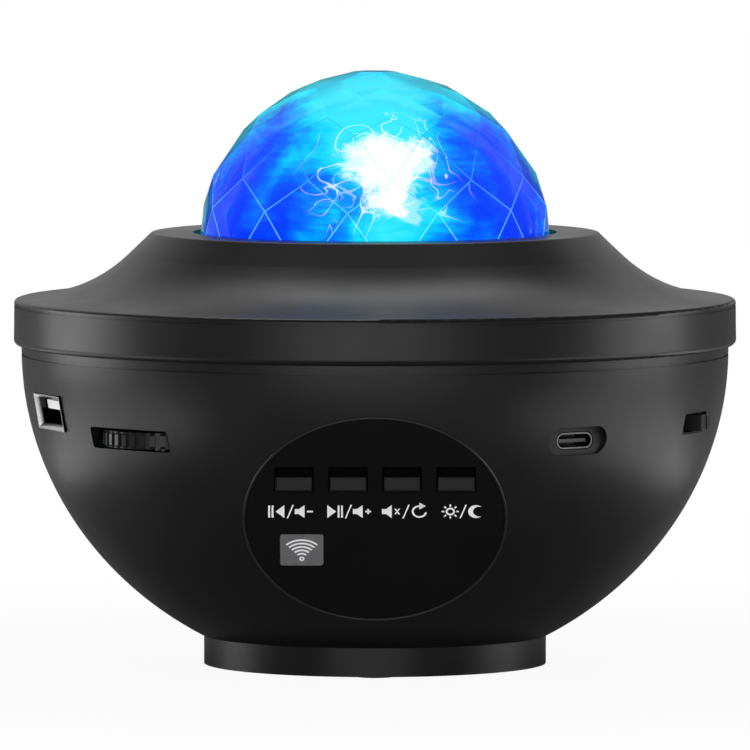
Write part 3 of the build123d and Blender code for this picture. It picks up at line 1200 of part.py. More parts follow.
def heat_sink():
    """Finned plate screwed under the deck."""
    low = DECK_Z - SINK_PLATE
    sink = disc(SINK_RADIUS, low, DECK_Z)
    count = int(FIN_FIELD / FIN_PITCH)
    for row in range(-count, count + 1):
        offset = row * FIN_PITCH
        half = sqrt(FIN_FIELD ** 2 - offset ** 2)
        fin = (offset - FIN_THICKNESS / 2, offset + FIN_THICKNESS / 2)
        sink += block(fin, (-half, half), (low - FIN_HEIGHT, low))
    sink -= disc(LASER_RADIUS + PLATE_GAP, low - FIN_HEIGHT - OVERCUT, DECK_Z + OVERCUT)
    hole = disc(SMALL_SHANK + SCREW_GAP, low - OVERCUT, DECK_Z + OVERCUT)
    corner = disc(LEG_RADIUS + SCREW_GAP, low - OVERCUT, DECK_Z + OVERCUT)
    cuts = [at(a, SINK_SCREW_CIRCLE) * hole for a in QUARTERS] + [at(a, LEG_CIRCLE) * corner for a in CORNERS]
    return sink - cuts


def heat_sink_screws():
    """Screws from below through the heat sink's plate."""
    one = screw(SMALL_SCREW, SINK_PLATE + DECK_THICKNESS - BLIND, DECK_Z - SINK_PLATE)
    return group([at(a, SINK_SCREW_CIRCLE) * one for a in QUARTERS])


def led_board():
    """Aluminium board on the heat sink."""
    return ring(LED_BOARD_RADIUS, LASER_RADIUS + PLATE_GAP, DECK_Z, DECK_Z + LED_BOARD)


def led_emitters():
    """Square emitters on the board."""
    low = DECK_Z + LED_BOARD
    half = LED_SIZE / 2
    chip = block((-half, half), (-half, half), (low, low + LED_HEIGHT))
    return group([at(a, LED_CIRCLE) * chip for a in QUARTERS])


def led_collimators():
    """Cone-shaped lenses over the emitters, hanging by their rims in the holder."""
    low = DECK_Z + LED_BOARD + LED_HEIGHT
    height = HOLDER_TOP_Z - low
    lens = Pos(0, 0, low + height / 2) * Cone(COLLIMATOR_FOOT, COLLIMATOR_RADIUS, height)
    lens += disc(COLLIMATOR_RADIUS + COLLIMATOR_RIM, HOLDER_TOP_Z, HOLDER_TOP_Z + COLLIMATOR_RIM_HEIGHT)
    return group([at(a, LED_CIRCLE) * lens for a in QUARTERS])


def collimator_holder():
    """Black cup with a hole for each lens and one for the laser."""
    low = DECK_Z + LED_BOARD
    cup = disc(HOLDER_RADIUS, low, HOLDER_TOP_Z)
    cup -= disc(HOLDER_RADIUS - HOLDER_WALL, low - OVERCUT, HOLDER_TOP_Z - HOLDER_WALL)
    hole = disc(COLLIMATOR_RADIUS + PLATE_GAP, low, HOLDER_TOP_Z + OVERCUT)
    cup -= [at(a, LED_CIRCLE) * hole for a in QUARTERS]
    return cup - disc(LASER_RADIUS + PLATE_GAP, low, HOLDER_TOP_Z + OVERCUT)


def laser_module():
    """Brass-cased laser standing in the middle of the light engine."""
    body = disc(LASER_RADIUS, DECK_Z - LASER_DROP, HOLDER_TOP_Z)
    body -= disc(LASER_RADIUS - LASER_WALL, HOLDER_TOP_Z - LASER_WELL, HOLDER_TOP_Z + OVERCUT)
    top = DECK_Z - SINK_PLATE - FIN_HEIGHT
    return body + ring(LASER_RADIUS + LASER_WALL, LASER_RADIUS - LASER_WALL, top - LASER_WALL, top)


def star_grating():
    """Small diffraction disc that splits the laser into stars."""
    return disc(LASER_RADIUS, HOLDER_TOP_Z, HOLDER_TOP_Z + GRATING_HEIGHT)


# Loudspeaker --------------------------------------------------------------------------------

SPEAKER_Z = FLOOR_TOP_Z + GASKET_THICKNESS
SPEAKER_SEAT_Z = SPEAKER_Z + SPEAKER_FLANGE
BASKET_TOP_Z = SPEAKER_Z + BASKET_HEIGHT
BASKET_NECK = MAGNET_RADIUS - BASKET_OVERHANG


def upright_cone(bottom_radius, top_radius, low, high):
    """Solid cone on the axis between two heights."""
    return Pos(0, 0, (low + high) / 2) * Cone(bottom_radius, top_radius, high - low)


def speaker_basket():
    """Pressed basket: flange with four ears, open sides and a neck under the magnet."""
    basket = disc(SPEAKER_RADIUS, SPEAKER_Z, SPEAKER_SEAT_Z)
    basket += [at(a, EAR_CIRCLE) * disc(EAR_RADIUS, SPEAKER_Z, SPEAKER_SEAT_Z) for a in QUARTERS]
    basket += upright_cone(SPEAKER_RADIUS - BASKET_INSET, BASKET_NECK, SPEAKER_SEAT_Z, BASKET_TOP_Z)
    low, high = SPEAKER_Z - OVERCUT, BASKET_TOP_Z - BASKET_WALL
    basket -= [upright_cone(CONE_RADIUS, BASKET_NECK - BASKET_WALL, low, high),
               disc(CONE_RADIUS, low, SPEAKER_Z + SURROUND)]
    window = block((-BASKET_WINDOW / 2, BASKET_WINDOW / 2), (-SPEAKER_RADIUS - OVERCUT, 0),
                   (SPEAKER_SEAT_Z + BASKET_SILL, BASKET_TOP_Z - BASKET_HEAD))
    hole = disc(SMALL_SHANK + SCREW_GAP, low, SPEAKER_SEAT_Z + OVERCUT)
    cuts = [Rot(0, 0, a) * window for a in CORNERS] + [at(a, EAR_CIRCLE) * hole for a in QUARTERS]
    cuts.append(disc(COIL_RADIUS + COIL_GAP, BASKET_TOP_Z - BASKET_HEAD, BASKET_TOP_Z + OVERCUT))
    return basket - cuts


def speaker_magnet():
    """Ring magnet and back plate on the basket's neck, with the pole piece inside."""
    top = BASKET_TOP_Z + MAGNET_HEIGHT
    magnet = disc(MAGNET_RADIUS, BASKET_TOP_Z, top)
    magnet -= ring(COIL_RADIUS + COIL_GAP, COIL_RADIUS - COIL_WALL - COIL_GAP,
                   BASKET_TOP_Z - OVERCUT, top - MAGNET_BACK)
    seam_low = top - MAGNET_BACK - MAGNET_GROOVE / 2
    return magnet - ring(MAGNET_RADIUS + OVERCUT, MAGNET_RADIUS - MAGNET_GROOVE_DEPTH,
                         seam_low, seam_low + MAGNET_GROOVE)


def speaker_cone():
    """Cone with its rolled surround, dust cap and voice coil."""
    low, high = SPEAKER_Z, SPEAKER_Z + SURROUND
    neck_z, coil_z = BASKET_TOP_Z - CONE_SETBACK, BASKET_TOP_Z + COIL_REACH
    inner, edge = COIL_RADIUS - COIL_WALL, CONE_RADIUS - SURROUND_WIDTH
    profile = [(CONE_RADIUS, low), (CONE_RADIUS, high), (edge, high), (COIL_RADIUS, neck_z),
               (COIL_RADIUS, coil_z), (inner, coil_z), (inner, neck_z - CONE_WALL),
               (edge - CONE_WALL / 2, low)]
    skin = revolve(make_face(Polyline(*[(r, 0, z) for r, z in profile], close=True)), Axis.Z)
    return skin + disc(inner + COIL_WALL / 2, neck_z - 1.5 * CONE_WALL, neck_z - CONE_WALL / 2)


def speaker_gasket():
    """Foam ring between the speaker's flange and the floor."""
    return ring(SPEAKER_RADIUS, SPEAKER_HOLE, FLOOR_TOP_Z, SPEAKER_Z)


def speaker_screws():
    """Screws from above through the ears into the floor."""
    length = SPEAKER_SEAT_Z - FLOOR_Z - OVERCUT - 2 * PLATE_GAP
    one = Pos(0, 0, SPEAKER_SEAT_Z) * Rot(180, 0, 0) * screw(SMALL_SCREW, length, 0)
    return group([at(a, EAR_CIRCLE) * one for a in QUARTERS])


# Output -------------------------------------------------------------------------------------

KEY_NAMES = ("previous", "play", "mute", "mode")
PARTS = {
    "bowl_housing": bowl_housing, "top_cover": top_cover, "base_cover": base_cover,
    "rubber_feet": rubber_feet, "base_screws": base_screws,
    "control_panel_plate": control_panel_plate, "receiver_window": receiver_window,
    "key_board": key_board, "key_board_screws": key_board_screws, "tact_switches": tact_switches,
    "ir_receiver": ir_receiver, "volume_wheel": volume_wheel, "pot_shaft": pot_shaft, "pot_body": pot_body,
    "main_board": main_board, "main_board_screws": main_board_screws, "board_chips": board_chips,
    "board_capacitors": board_capacitors, "usb_a_shell": usb_a_shell, "usb_a_tongue": usb_a_tongue,
    "usb_a_contacts": usb_a_contacts, "usb_board": usb_board, "usb_c_shell": usb_c_shell,
    "usb_c_tongue": usb_c_tongue, "slide_switch_knob": slide_switch_knob,
    "slide_switch_body": slide_switch_body, "dome_lens": dome_lens,
    "dome_retainer_ring": dome_retainer_ring, "retainer_screws": retainer_screws,
    "chassis_frame": chassis_frame, "chassis_screws": chassis_screws, "ripple_gear": ripple_gear,
    "ripple_dome": ripple_dome, "drive_pinion": drive_pinion, "motor_shaft": motor_shaft,
    "drive_motor": drive_motor, "motor_screws": motor_screws, "heat_sink": heat_sink,
    "heat_sink_screws": heat_sink_screws, "led_board": led_board, "led_emitters": led_emitters,
    "led_collimators": led_collimators, "collimator_holder": collimator_holder,
    "laser_module": laser_module, "star_grating": star_grating, "speaker_basket": speaker_basket,
    "speaker_magnet": speaker_magnet, "speaker_cone": speaker_cone, "speaker_gasket": speaker_gasket,
    "speaker_screws": speaker_screws,
}

os.makedirs("parts", exist_ok=True)
for name, make in PARTS.items():
    export_step(make(), f"parts/{name}.step")
for name, x in zip(KEY_NAMES, KEY_XS):
    export_step(key(x), f"parts/{name}_key.step")
    export_step(plunger(x), f"parts/{name}_plunger.step")
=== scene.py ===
import json
import random
from math import cos, pi, radians, sin

import bpy
from mathutils import Matrix, Vector

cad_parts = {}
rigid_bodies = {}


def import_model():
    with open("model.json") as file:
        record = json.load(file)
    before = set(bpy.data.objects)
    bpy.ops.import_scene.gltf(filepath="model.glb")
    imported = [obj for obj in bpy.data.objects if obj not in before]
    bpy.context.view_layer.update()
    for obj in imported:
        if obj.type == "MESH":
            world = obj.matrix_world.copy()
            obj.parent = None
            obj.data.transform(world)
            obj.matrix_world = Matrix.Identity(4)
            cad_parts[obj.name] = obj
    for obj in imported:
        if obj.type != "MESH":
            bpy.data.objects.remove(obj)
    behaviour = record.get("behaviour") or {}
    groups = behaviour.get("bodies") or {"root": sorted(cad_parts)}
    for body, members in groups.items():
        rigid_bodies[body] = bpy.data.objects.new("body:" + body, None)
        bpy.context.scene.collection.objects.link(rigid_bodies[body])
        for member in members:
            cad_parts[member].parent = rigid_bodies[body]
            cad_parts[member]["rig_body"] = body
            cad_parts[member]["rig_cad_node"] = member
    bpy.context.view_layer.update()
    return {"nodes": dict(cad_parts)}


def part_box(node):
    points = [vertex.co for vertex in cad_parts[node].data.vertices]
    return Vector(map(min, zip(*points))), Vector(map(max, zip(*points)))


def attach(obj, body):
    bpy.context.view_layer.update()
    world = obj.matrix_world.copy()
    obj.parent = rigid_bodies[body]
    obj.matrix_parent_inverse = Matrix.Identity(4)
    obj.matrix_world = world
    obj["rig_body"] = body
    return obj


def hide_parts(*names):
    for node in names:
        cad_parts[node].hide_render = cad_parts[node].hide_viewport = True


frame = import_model()
nodes = frame["nodes"]
bpy.ops.object.select_all(action="DESELECT")

# Camera ---------------------------------------------------------------------------------
# A long lens far in front of the key panel, looking down by a few degrees.
# It is aimed at the middle of the lamp's height, on its axis.
camera_distance = 2.555
camera_tilt = radians(3.67)
camera_aim = 0.0604
lens_data = bpy.data.cameras.new("product_camera")
lens_data.lens = 590.0
lens_data.sensor_width = 36.0
lens_data.clip_start = 0.1
lens_data.clip_end = 50.0
camera = bpy.data.objects.new("product_camera", lens_data)
bpy.context.scene.collection.objects.link(camera)
camera.location = (0.0, -camera_distance * cos(camera_tilt),
                   camera_aim + camera_distance * sin(camera_tilt))
camera.rotation_euler = (pi / 2 - camera_tilt, 0.0, 0.0)
bpy.context.scene.camera = camera
bpy.context.scene.view_settings.view_transform = "Standard"

# Floor and backdrop ---------------------------------------------------------------------
# A pale studio floor that fades into the white background, and keeps a faint shadow.
# Gloss and clear plastic see both of them dimmer than the camera does, as in a flagged-off studio.
floor_radius = 5.0
floor_grey = 0.2
floor_shadow = 0.06
shadow_reach = (0.03, 0.25)
floor_glossy_near, floor_glossy_far = 0.03, 0.12
floor_glossy_reach = (0.07, 0.28)
room_glossy_low, room_glossy_high = 0.02, 0.12
room_glossy_rise = (0.0, 0.35)
clear_level = 0.10
ambient_level = 0.20


def new_material(name):
    material = bpy.data.materials.new(name)
    material.use_nodes = True
    tree = material.node_tree
    return material, tree, tree.nodes["Principled BSDF"]


def add_node(tree, kind, **values):
    node = tree.nodes.new(kind)
    for name, value in values.items():
        if name in node.inputs:
            node.inputs[name].default_value = value
        else:
            setattr(node, name, value)
    return node


def calc(tree, operation, *values):
    """Maths on sockets and plain numbers; gives the socket of the result."""
    node = add_node(tree, "ShaderNodeMath", operation=operation)
    for socket, value in zip(node.inputs, values):
        if isinstance(value, (int, float)):
            socket.default_value = value
        else:
            tree.links.new(value, socket)
    return node.outputs[0]


def remap(tree, value, low, high, to_low=0.0, to_high=1.0, kind="LINEAR"):
    """A value carried from one range to another, and held at its ends."""
    node = add_node(tree, "ShaderNodeMapRange", interpolation_type=kind, **{
        "From Min": low, "From Max": high, "To Min": to_low, "To Max": to_high})
    tree.links.new(value, node.inputs["Value"])
    return node.outputs["Result"]


def seen_level(tree, plain, mirrored):
    """Level for camera and transmission rays (plain) and for glossy rays (mirrored), else 0."""
    path = add_node(tree, "ShaderNodeLightPath").outputs
    straight = calc(tree, "MAXIMUM", path["Is Camera Ray"], path["Is Transmission Ray"])
    straight_level = calc(tree, "MULTIPLY", straight, plain)
    glossy_level = calc(tree, "MULTIPLY", path["Is Glossy Ray"], mirrored)
    return calc(tree, "MAXIMUM", straight_level, glossy_level)


bpy.ops.mesh.primitive_circle_add(vertices=96, radius=floor_radius, fill_type="NGON")
floor = bpy.context.object
floor.name = "studio_floor"
floor_material, tree, shader = new_material("pale_floor")
shader.inputs["Base Color"].default_value = (floor_grey, floor_grey, floor_grey, 1)
shader.inputs["Roughness"].default_value = 0.9
shader.inputs["Specular IOR Level"].default_value = 0.0
white = add_node(tree, "ShaderNodeEmission", Color=(1, 1, 1, 1), Strength=1.0)
place = add_node(tree, "ShaderNodeTexCoord")
reach = add_node(tree, "ShaderNodeVectorMath", operation="LENGTH")
tree.links.new(place.outputs["Object"], reach.inputs[0])
fade = remap(tree, reach.outputs["Value"], *shadow_reach, 1 - floor_shadow, 1.0)
dusk = remap(tree, reach.outputs["Value"], *floor_glossy_reach, floor_glossy_near, floor_glossy_far)
mix = add_node(tree, "ShaderNodeMixShader")
tree.links.new(seen_level(tree, fade, dusk), mix.inputs["Fac"])
tree.links.new(shader.outputs["BSDF"], mix.inputs[1])
tree.links.new(white.outputs["Emission"], mix.inputs[2])
tree.links.new(mix.outputs["Shader"], tree.nodes["Material Output"].inputs["Surface"])
floor.data.materials.append(floor_material)

world = bpy.data.worlds.new("white_studio")
bpy.context.scene.world = world
world.use_nodes = True
tree = world.node_tree
tree.nodes.clear()
link = tree.links.new
place = add_node(tree, "ShaderNodeTexCoord")
axes = add_node(tree, "ShaderNodeSeparateXYZ")
background = add_node(tree, "ShaderNodeBackground", Color=(1, 1, 1, 1))
out = add_node(tree, "ShaderNodeOutputWorld")
link(place.outputs["Generated"], axes.inputs[0])
mirrored = remap(tree, axes.outputs["Z"], *room_glossy_rise, room_glossy_low, room_glossy_high)
path = add_node(tree, "ShaderNodeLightPath").outputs
ambient = calc(tree, "MULTIPLY", path["Is Diffuse Ray"], ambient_level)
level = calc(tree, "MAXIMUM", seen_level(tree, clear_level, mirrored), ambient)
link(calc(tree, "MAXIMUM", level, path["Is Camera Ray"]), background.inputs["Strength"])
link(background.outputs["Background"], out.inputs["Surface"])

# Studio lamps ---------------------------------------------------------------------------
# Tall soft boxes at both sides draw the long highlights of the bowl, low ones on the floor light
# its underside, one behind and one above light the cover, and one in front lights the key panel,
# with a fill that shows in no reflection. The domes glow by themselves, so no lamp lights them.
low_distance = 0.23
self_lit = bpy.data.collections.new("self_lit_domes")


def soft_box(name, azimuth, height, distance, size, power, aim, mirrored=True):
    """Rectangular lamp, unseen by the camera. Azimuth 0 is in front, in degrees."""
    light = bpy.data.lights.new(name, "AREA")
    light.shape = "RECTANGLE"
    light.size, light.size_y = size
    light.energy = power
    lamp = bpy.data.objects.new(name, light)
    bpy.context.scene.collection.objects.link(lamp)
    turn = radians(azimuth)
    lamp.location = (distance * sin(turn), -distance * cos(turn), height)
    lamp.rotation_euler = (Vector(aim) - lamp.location).to_track_quat("-Z", "Y").to_euler()
    lamp.visible_camera = False
    lamp.visible_glossy = mirrored
    lamp.light_linking.receiver_collection = self_lit


soft_box("left_soft_box", -105, 0.05, 0.9, (0.5, 0.6), 6.2, (0, 0, 0.06))
soft_box("right_soft_box", 94, 0.10, 0.9, (0.5, 0.7), 5.4, (0, 0, 0.06))
for name, azimuth, power in (("left_low_box", -86, 0.26), ("right_low_box", 78, 0.30)):
    turn = radians(azimuth)
    straight_up = (low_distance * sin(turn), -low_distance * cos(turn), 1.0)
    soft_box(name, azimuth, 0.003, low_distance, (0.2, 0.24), power, straight_up)
soft_box("back_soft_box", 180, 0.62, 1.2, (2.4, 1.1), 4.2, (0, 0, 0.08))
soft_box("top_soft_box", 180, 1.0, 0.45, (0.7, 0.4), 3.2, (0, 0, 0.08))
soft_box("front_soft_box", -4, 0.05, 1.0, (1.0, 0.5), 4.6, (0, 0, 0.07))
soft_box("front_fill", 0, 0.03, 1.0, (0.6, 0.05), 4.6, (0, 0, 0.04), mirrored=False)

# Bowl housing ---------------------------------------------------------------------------
# Injection-moulded black plastic with a fine spark-eroded grain, satin to the eye.
# The same plastic makes the top cover and the foot.


def moulded_grain():
    """Node group: slow shade and gloss changes, and the fine grain of a moulded surface."""
    group = bpy.data.node_groups.new("moulded_grain", "ShaderNodeTree")
    sockets = group.interface
    sockets.new_socket("Position", in_out="INPUT", socket_type="NodeSocketVector")
    sockets.new_socket("Colour", in_out="INPUT", socket_type="NodeSocketColor")
    sockets.new_socket("Gloss Low", in_out="INPUT", socket_type="NodeSocketFloat")
    sockets.new_socket("Gloss High", in_out="INPUT", socket_type="NodeSocketFloat")
    sockets.new_socket("Grain Scale", in_out="INPUT", socket_type="NodeSocketFloat")
    sockets.new_socket("Colour", in_out="OUTPUT", socket_type="NodeSocketColor")
    sockets.new_socket("Roughness", in_out="OUTPUT", socket_type="NodeSocketFloat")
    sockets.new_socket("Height", in_out="OUTPUT", socket_type="NodeSocketFloat")
    start = group.nodes.new("NodeGroupInput")
    end = group.nodes.new("NodeGroupOutput")
    slow = add_node(group, "ShaderNodeTexNoise", Scale=45.0, Detail=3.0)
    shade = add_node(group, "ShaderNodeMapRange", **{"To Min": 0.88, "To Max": 1.14})
    tint = add_node(group, "ShaderNodeVectorMath", operation="SCALE")
    gloss = add_node(group, "ShaderNodeMapRange", **{"From Min": 0.35, "From Max": 0.65})
    grain = add_node(group, "ShaderNodeTexNoise", Detail=2.0)
    link = group.links.new
    link(start.outputs["Position"], slow.inputs["Vector"])
    link(slow.outputs["Fac"], shade.inputs["Value"])
    link(start.outputs["Colour"], tint.inputs[0])
    link(shade.outputs["Result"], tint.inputs["Scale"])
    link(tint.outputs["Vector"], end.inputs["Colour"])
    link(slow.outputs["Fac"], gloss.inputs["Value"])
    link(start.outputs["Gloss Low"], gloss.inputs["To Min"])
    link(start.outputs["Gloss High"], gloss.inputs["To Max"])
    link(gloss.outputs["Result"], end.inputs["Roughness"])
    link(start.outputs["Position"], grain.inputs["Vector"])
    link(start.outputs["Grain Scale"], grain.inputs["Scale"])
    link(grain.outputs["Fac"], end.inputs["Height"])
    return group


grain_group = moulded_grain()


def plastic(name, colour, gloss, grain_scale=2400.0, grain_depth=0.000012, specular=0.5):
    """Moulded plastic: colour, the range of its roughness, and its grain."""
    material, tree, shader = new_material(name)
    place = add_node(tree, "ShaderNodeTexCoord")
    grain = add_node(tree, "ShaderNodeGroup", node_tree=grain_group)
    grain.inputs["Colour"].default_value = (*colour, 1)
    grain.inputs["Gloss Low"].default_value, grain.inputs["Gloss High"].default_value = gloss
    grain.inputs["Grain Scale"].default_value = grain_scale
    bump = add_node(tree, "ShaderNodeBump", Strength=1.0, Distance=grain_depth)
    link = tree.links.new
    link(place.outputs["Object"], grain.inputs["Position"])
    link(grain.outputs["Colour"], shader.inputs["Base Color"])
    link(grain.outputs["Roughness"], shader.inputs["Roughness"])
    link(grain.outputs["Height"], bump.inputs["Height"])
    link(bump.outputs["Normal"], shader.inputs["Normal"])
    shader.inputs["Specular IOR Level"].default_value = specular
    return material


def dress(material, *names):
    """Give CAD nodes a material."""
    for name in names:
        slots = nodes[name].data.materials
        slots.clear()
        slots.append(material)


shell_plastic = plastic("black_shell_plastic", (0.0062, 0.0062, 0.0066), (0.33, 0.40),
                        specular=0.32)
dress(shell_plastic, "bowl_housing", "top_cover", "base_cover")

# Loudspeaker ----------------------------------------------------------------------------
# A small driver screwed to the floor of the bowl, firing down through the grille in the foot.
# Painted steel basket, ferrite magnet, pressed paper cone and a foam gasket.


def metal(name, colour, gloss, brush=(300.0, 300.0, 300.0), depth=0.000004):
    """Metal with a fine brushed or tumbled surface."""
    material, tree, shader = new_material(name)
    place = add_node(tree, "ShaderNodeTexCoord")
    stretch = add_node(tree, "ShaderNodeMapping", Scale=brush)
    lines = add_node(tree, "ShaderNodeTexNoise", Scale=6.0, Detail=4.0)
    rough = add_node(tree, "ShaderNodeMapRange", **{"To Min": gloss[0], "To Max": gloss[1]})
    bump = add_node(tree, "ShaderNodeBump", Strength=1.0, Distance=depth)
    link = tree.links.new
    link(place.outputs["Object"], stretch.inputs["Vector"])
    link(stretch.outputs["Vector"], lines.inputs["Vector"])
    link(lines.outputs["Fac"], rough.inputs["Value"])
    link(rough.outputs["Result"], shader.inputs["Roughness"])
    link(lines.outputs["Fac"], bump.inputs["Height"])
    link(bump.outputs["Normal"], shader.inputs["Normal"])
    shader.inputs["Base Color"].default_value = (*colour, 1)
    shader.inputs["Metallic"].default_value = 1.0
    return material


plated_steel = metal("plated_screw_steel", (0.56, 0.56, 0.57), (0.22, 0.38))
dress(plastic("black_painted_basket", (0.022, 0.022, 0.022), (0.35, 0.5)), "speaker_basket")
ferrite = plastic("dark_ferrite", (0.05, 0.05, 0.052), (0.5, 0.7),
                  grain_scale=900.0, grain_depth=0.00004)
dress(ferrite, "speaker_magnet")
cone_paper = plastic("black_cone_paper", (0.018, 0.018, 0.019), (0.8, 0.95),
                     grain_scale=600.0, grain_depth=0.00008, specular=0.2)
dress(cone_paper, "speaker_cone")
gasket_foam = plastic("black_gasket_foam", (0.02, 0.02, 0.02), (0.85, 0.98),
                      grain_scale=1200.0, grain_depth=0.00012, specular=0.2)
dress(gasket_foam, "speaker_gasket")
dress(plated_steel, "speaker_screws")

# Foot -----------------------------------------------------------------------------------
# Four rubber pads and four long screws under the foot, which hold foot, bowl and chassis together.
rubber = plastic("black_rubber", (0.013, 0.013, 0.013), (0.7, 0.85),
                 grain_scale=1500.0, grain_depth=0.00003, specular=0.3)
dress(rubber, "rubber_feet")
dress(plated_steel, "base_screws")

# Boards ---------------------------------------------------------------------------------
# Glass-epoxy boards under a green solder mask, with copper tracks that show as paler green lines.
# Black moulded packages and sleeved aluminium capacitors stand on them.


def circuit_board(name, colour, track_colour, spacing):
    """Solder mask over a maze of straight tracks."""
    material, tree, shader = new_material(name)
    place = add_node(tree, "ShaderNodeTexCoord")
    tracks = add_node(tree, "ShaderNodeTexBrick", **{
        "Color1": (*colour, 1), "Color2": (*[value * 1.15 for value in colour], 1),
        "Mortar": (*track_colour, 1), "Scale": spacing, "Mortar Size": 0.012})
    bump = add_node(tree, "ShaderNodeBump", Strength=0.4, Distance=0.00003)
    link = tree.links.new
    link(place.outputs["Object"], tracks.inputs["Vector"])
    link(tracks.outputs["Color"], shader.inputs["Base Color"])
    link(tracks.outputs["Fac"], bump.inputs["Height"])
    link(bump.outputs["Normal"], shader.inputs["Normal"])
    shader.inputs["Roughness"].default_value = 0.32
    return material


green_board = circuit_board("green_solder_mask", (0.012, 0.105, 0.045), (0.05, 0.22, 0.11),
                            spacing=260.0)
dress(green_board, "main_board", "usb_board", "key_board")
moulded_black = plastic("black_package_epoxy", (0.02, 0.02, 0.021), (0.45, 0.6),
                        grain_scale=1800.0, grain_depth=0.00002)
dress(moulded_black, "board_chips", "tact_switches", "ir_receiver", "collimator_holder")
dress(metal("capacitor_aluminium", (0.70, 0.71, 0.73), (0.25, 0.4)), "board_capacitors")
dress(plated_steel, "main_board_screws", "key_board_screws")

# USB-A socket ---------------------------------------------------------------------------
# Stamped and nickel-plated shell with a flared mouth, a pale moulded tongue and gold contacts.
# It is soldered to a small board that slides into two rails behind the wall.
usb_a_mouth = Vector((-0.067116, -0.027101, 0.0544))
usb_a_axis = Vector((-0.91169, -0.368126, -0.182496))
# Deeper than the mouth the shell's colour darkens from nickel to near black: painted shade inside
# the socket.
shade_start_depth, shade_full_depth = 0.0003, 0.0009
nickel_colour, painted_shade_colour = (0.78, 0.78, 0.79), (0.035, 0.035, 0.036)
port_nickel = metal("stamped_nickel", nickel_colour, (0.16, 0.28))
tree = port_nickel.node_tree
depth = add_node(tree, "ShaderNodeVectorMath", operation="DOT_PRODUCT")
depth.inputs[1].default_value = usb_a_axis
tree.links.new(add_node(tree, "ShaderNodeTexCoord").outputs["Object"], depth.inputs[0])
mouth = usb_a_mouth.dot(usb_a_axis)
painted_shade_mix = add_node(tree, "ShaderNodeMix", data_type="RGBA")
outside = remap(tree, depth.outputs["Value"], mouth - shade_full_depth, mouth - shade_start_depth)
tree.links.new(outside, painted_shade_mix.inputs["Factor"])
painted_shade_mix.inputs[6].default_value = (*painted_shade_colour, 1)
painted_shade_mix.inputs[7].default_value = (*nickel_colour, 1)
tree.links.new(painted_shade_mix.outputs[2], tree.nodes["Principled BSDF"].inputs["Base Color"])
dress(port_nickel, "usb_a_shell")
dress(plastic("pale_tongue_plastic", (0.86, 0.86, 0.85), (0.35, 0.5)), "usb_a_tongue")
dress(metal("gold_contacts", (0.86, 0.62, 0.26), (0.15, 0.25)), "usb_a_contacts")

# USB-C socket ---------------------------------------------------------------------------
# A seamless nickel shell set back in a rounded pocket of the wall, with a thin dark tongue.
# The shell is coloured dark grey, far darker than the nickel of the USB-A shell.
dress(metal("dark_grey_nickel", (0.20, 0.20, 0.21), (0.26, 0.36)), "usb_c_shell")
dress(plastic("dark_tongue_plastic", (0.03, 0.03, 0.031), (0.4, 0.5)), "usb_c_tongue")

# Slide switch and thumbwheel ------------------------------------------------------------
# Graphite plastic knobs that stand out of the wall: the ribbed wheel turns the volume
# potentiometer, and the small nub slides the power switch.
graphite = plastic("graphite_knob_plastic", (0.009, 0.009, 0.0095), (0.28, 0.36), specular=0.32)
switch_grey = plastic("grey_switch_plastic", (0.16, 0.16, 0.165), (0.45, 0.6))
dress(graphite, "slide_switch_knob", "volume_wheel")
dress(switch_grey, "slide_switch_body", "pot_body")
dress(plated_steel, "pot_shaft")

# Key panel ------------------------------------------------------------------------------
# A thin oval plate let into the flat of the bowl, darker and a little smoother than the shell.
# A fine moulded bead runs round it, and white symbols are printed under the four keys.
panel_tilt = radians(31.29)
panel_centre = Vector((0.0, -0.059454, 0.0348))
panel_half_width, panel_half_height = 27.07, 25.63
bead_inset, bead_radius = 0.42, 0.3
millimetre = Matrix.Scale(0.001, 4)
panel_turn = Matrix.Rotation(pi / 2 + panel_tilt, 4, "X")
panel_place = Matrix.Translation(panel_centre) @ panel_turn @ millimetre
panel_plastic = plastic("smooth_panel_plastic", (0.005, 0.005, 0.0053), (0.34, 0.40),
                        grain_scale=3000.0, grain_depth=0.000006, specular=0.12)
dress(panel_plastic, "control_panel_plate")


def settle(piece, place):
    """Turn and move a piece to its place, and keep that in its mesh."""
    piece.matrix_world = place @ piece.matrix_world
    bpy.ops.object.select_all(action="DESELECT")
    piece.select_set(True)
    bpy.context.view_layer.objects.active = piece
    bpy.ops.object.transform_apply(location=True, rotation=True, scale=True)


bpy.ops.mesh.primitive_circle_add(vertices=160, radius=1.0, fill_type="NOTHING")
bead = bpy.context.object
bead.name = "panel_bead"
bead.scale = (panel_half_width - bead_inset, panel_half_height - bead_inset, 1)
bpy.ops.object.transform_apply(location=True, rotation=True, scale=True)
bpy.ops.object.convert(target="CURVE")
bead = bpy.context.object
bead.data.bevel_depth = bead_radius
bead.data.bevel_resolution = 3
bpy.ops.object.convert(target="MESH")
bead = bpy.context.object
settle(bead, panel_place)
bpy.ops.object.shade_smooth()
bead.data.materials.clear()
bead_plastic = plastic("bead_plastic", (0.014, 0.014, 0.0145), (0.3, 0.36), specular=0.35)
bead.data.materials.append(bead_plastic)
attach(bead, "housing")


ink_thickness = 0.05


def ink_patch(points):
    """Flat patch of ink with a straight-sided outline, in millimetres on the panel."""
    bpy.ops.mesh.primitive_circle_add(vertices=len(points), radius=1.0, fill_type="NGON")
    patch = bpy.context.object
    for vertex, (x, y) in zip(patch.data.vertices, points):
        vertex.co = (x, y, 0)
    return patch


def ink_bar(x, y, width, height):
    left, right, low, high = x - width / 2, x + width / 2, y - height / 2, y + height / 2
    return ink_patch([(left, low), (right, low), (right, high), (left, high)])


def ink_slash(x):
    return ink_patch([(x - 0.75, -1.7), (x - 0.45, -1.7), (x + 0.75, 1.7), (x + 0.45, 1.7)])


def round_points(x, y, radius, angles):
    """Points on a circle, at angles in degrees."""
    return [(x + radius * cos(radians(a)), y + radius * sin(radians(a))) for a in angles]


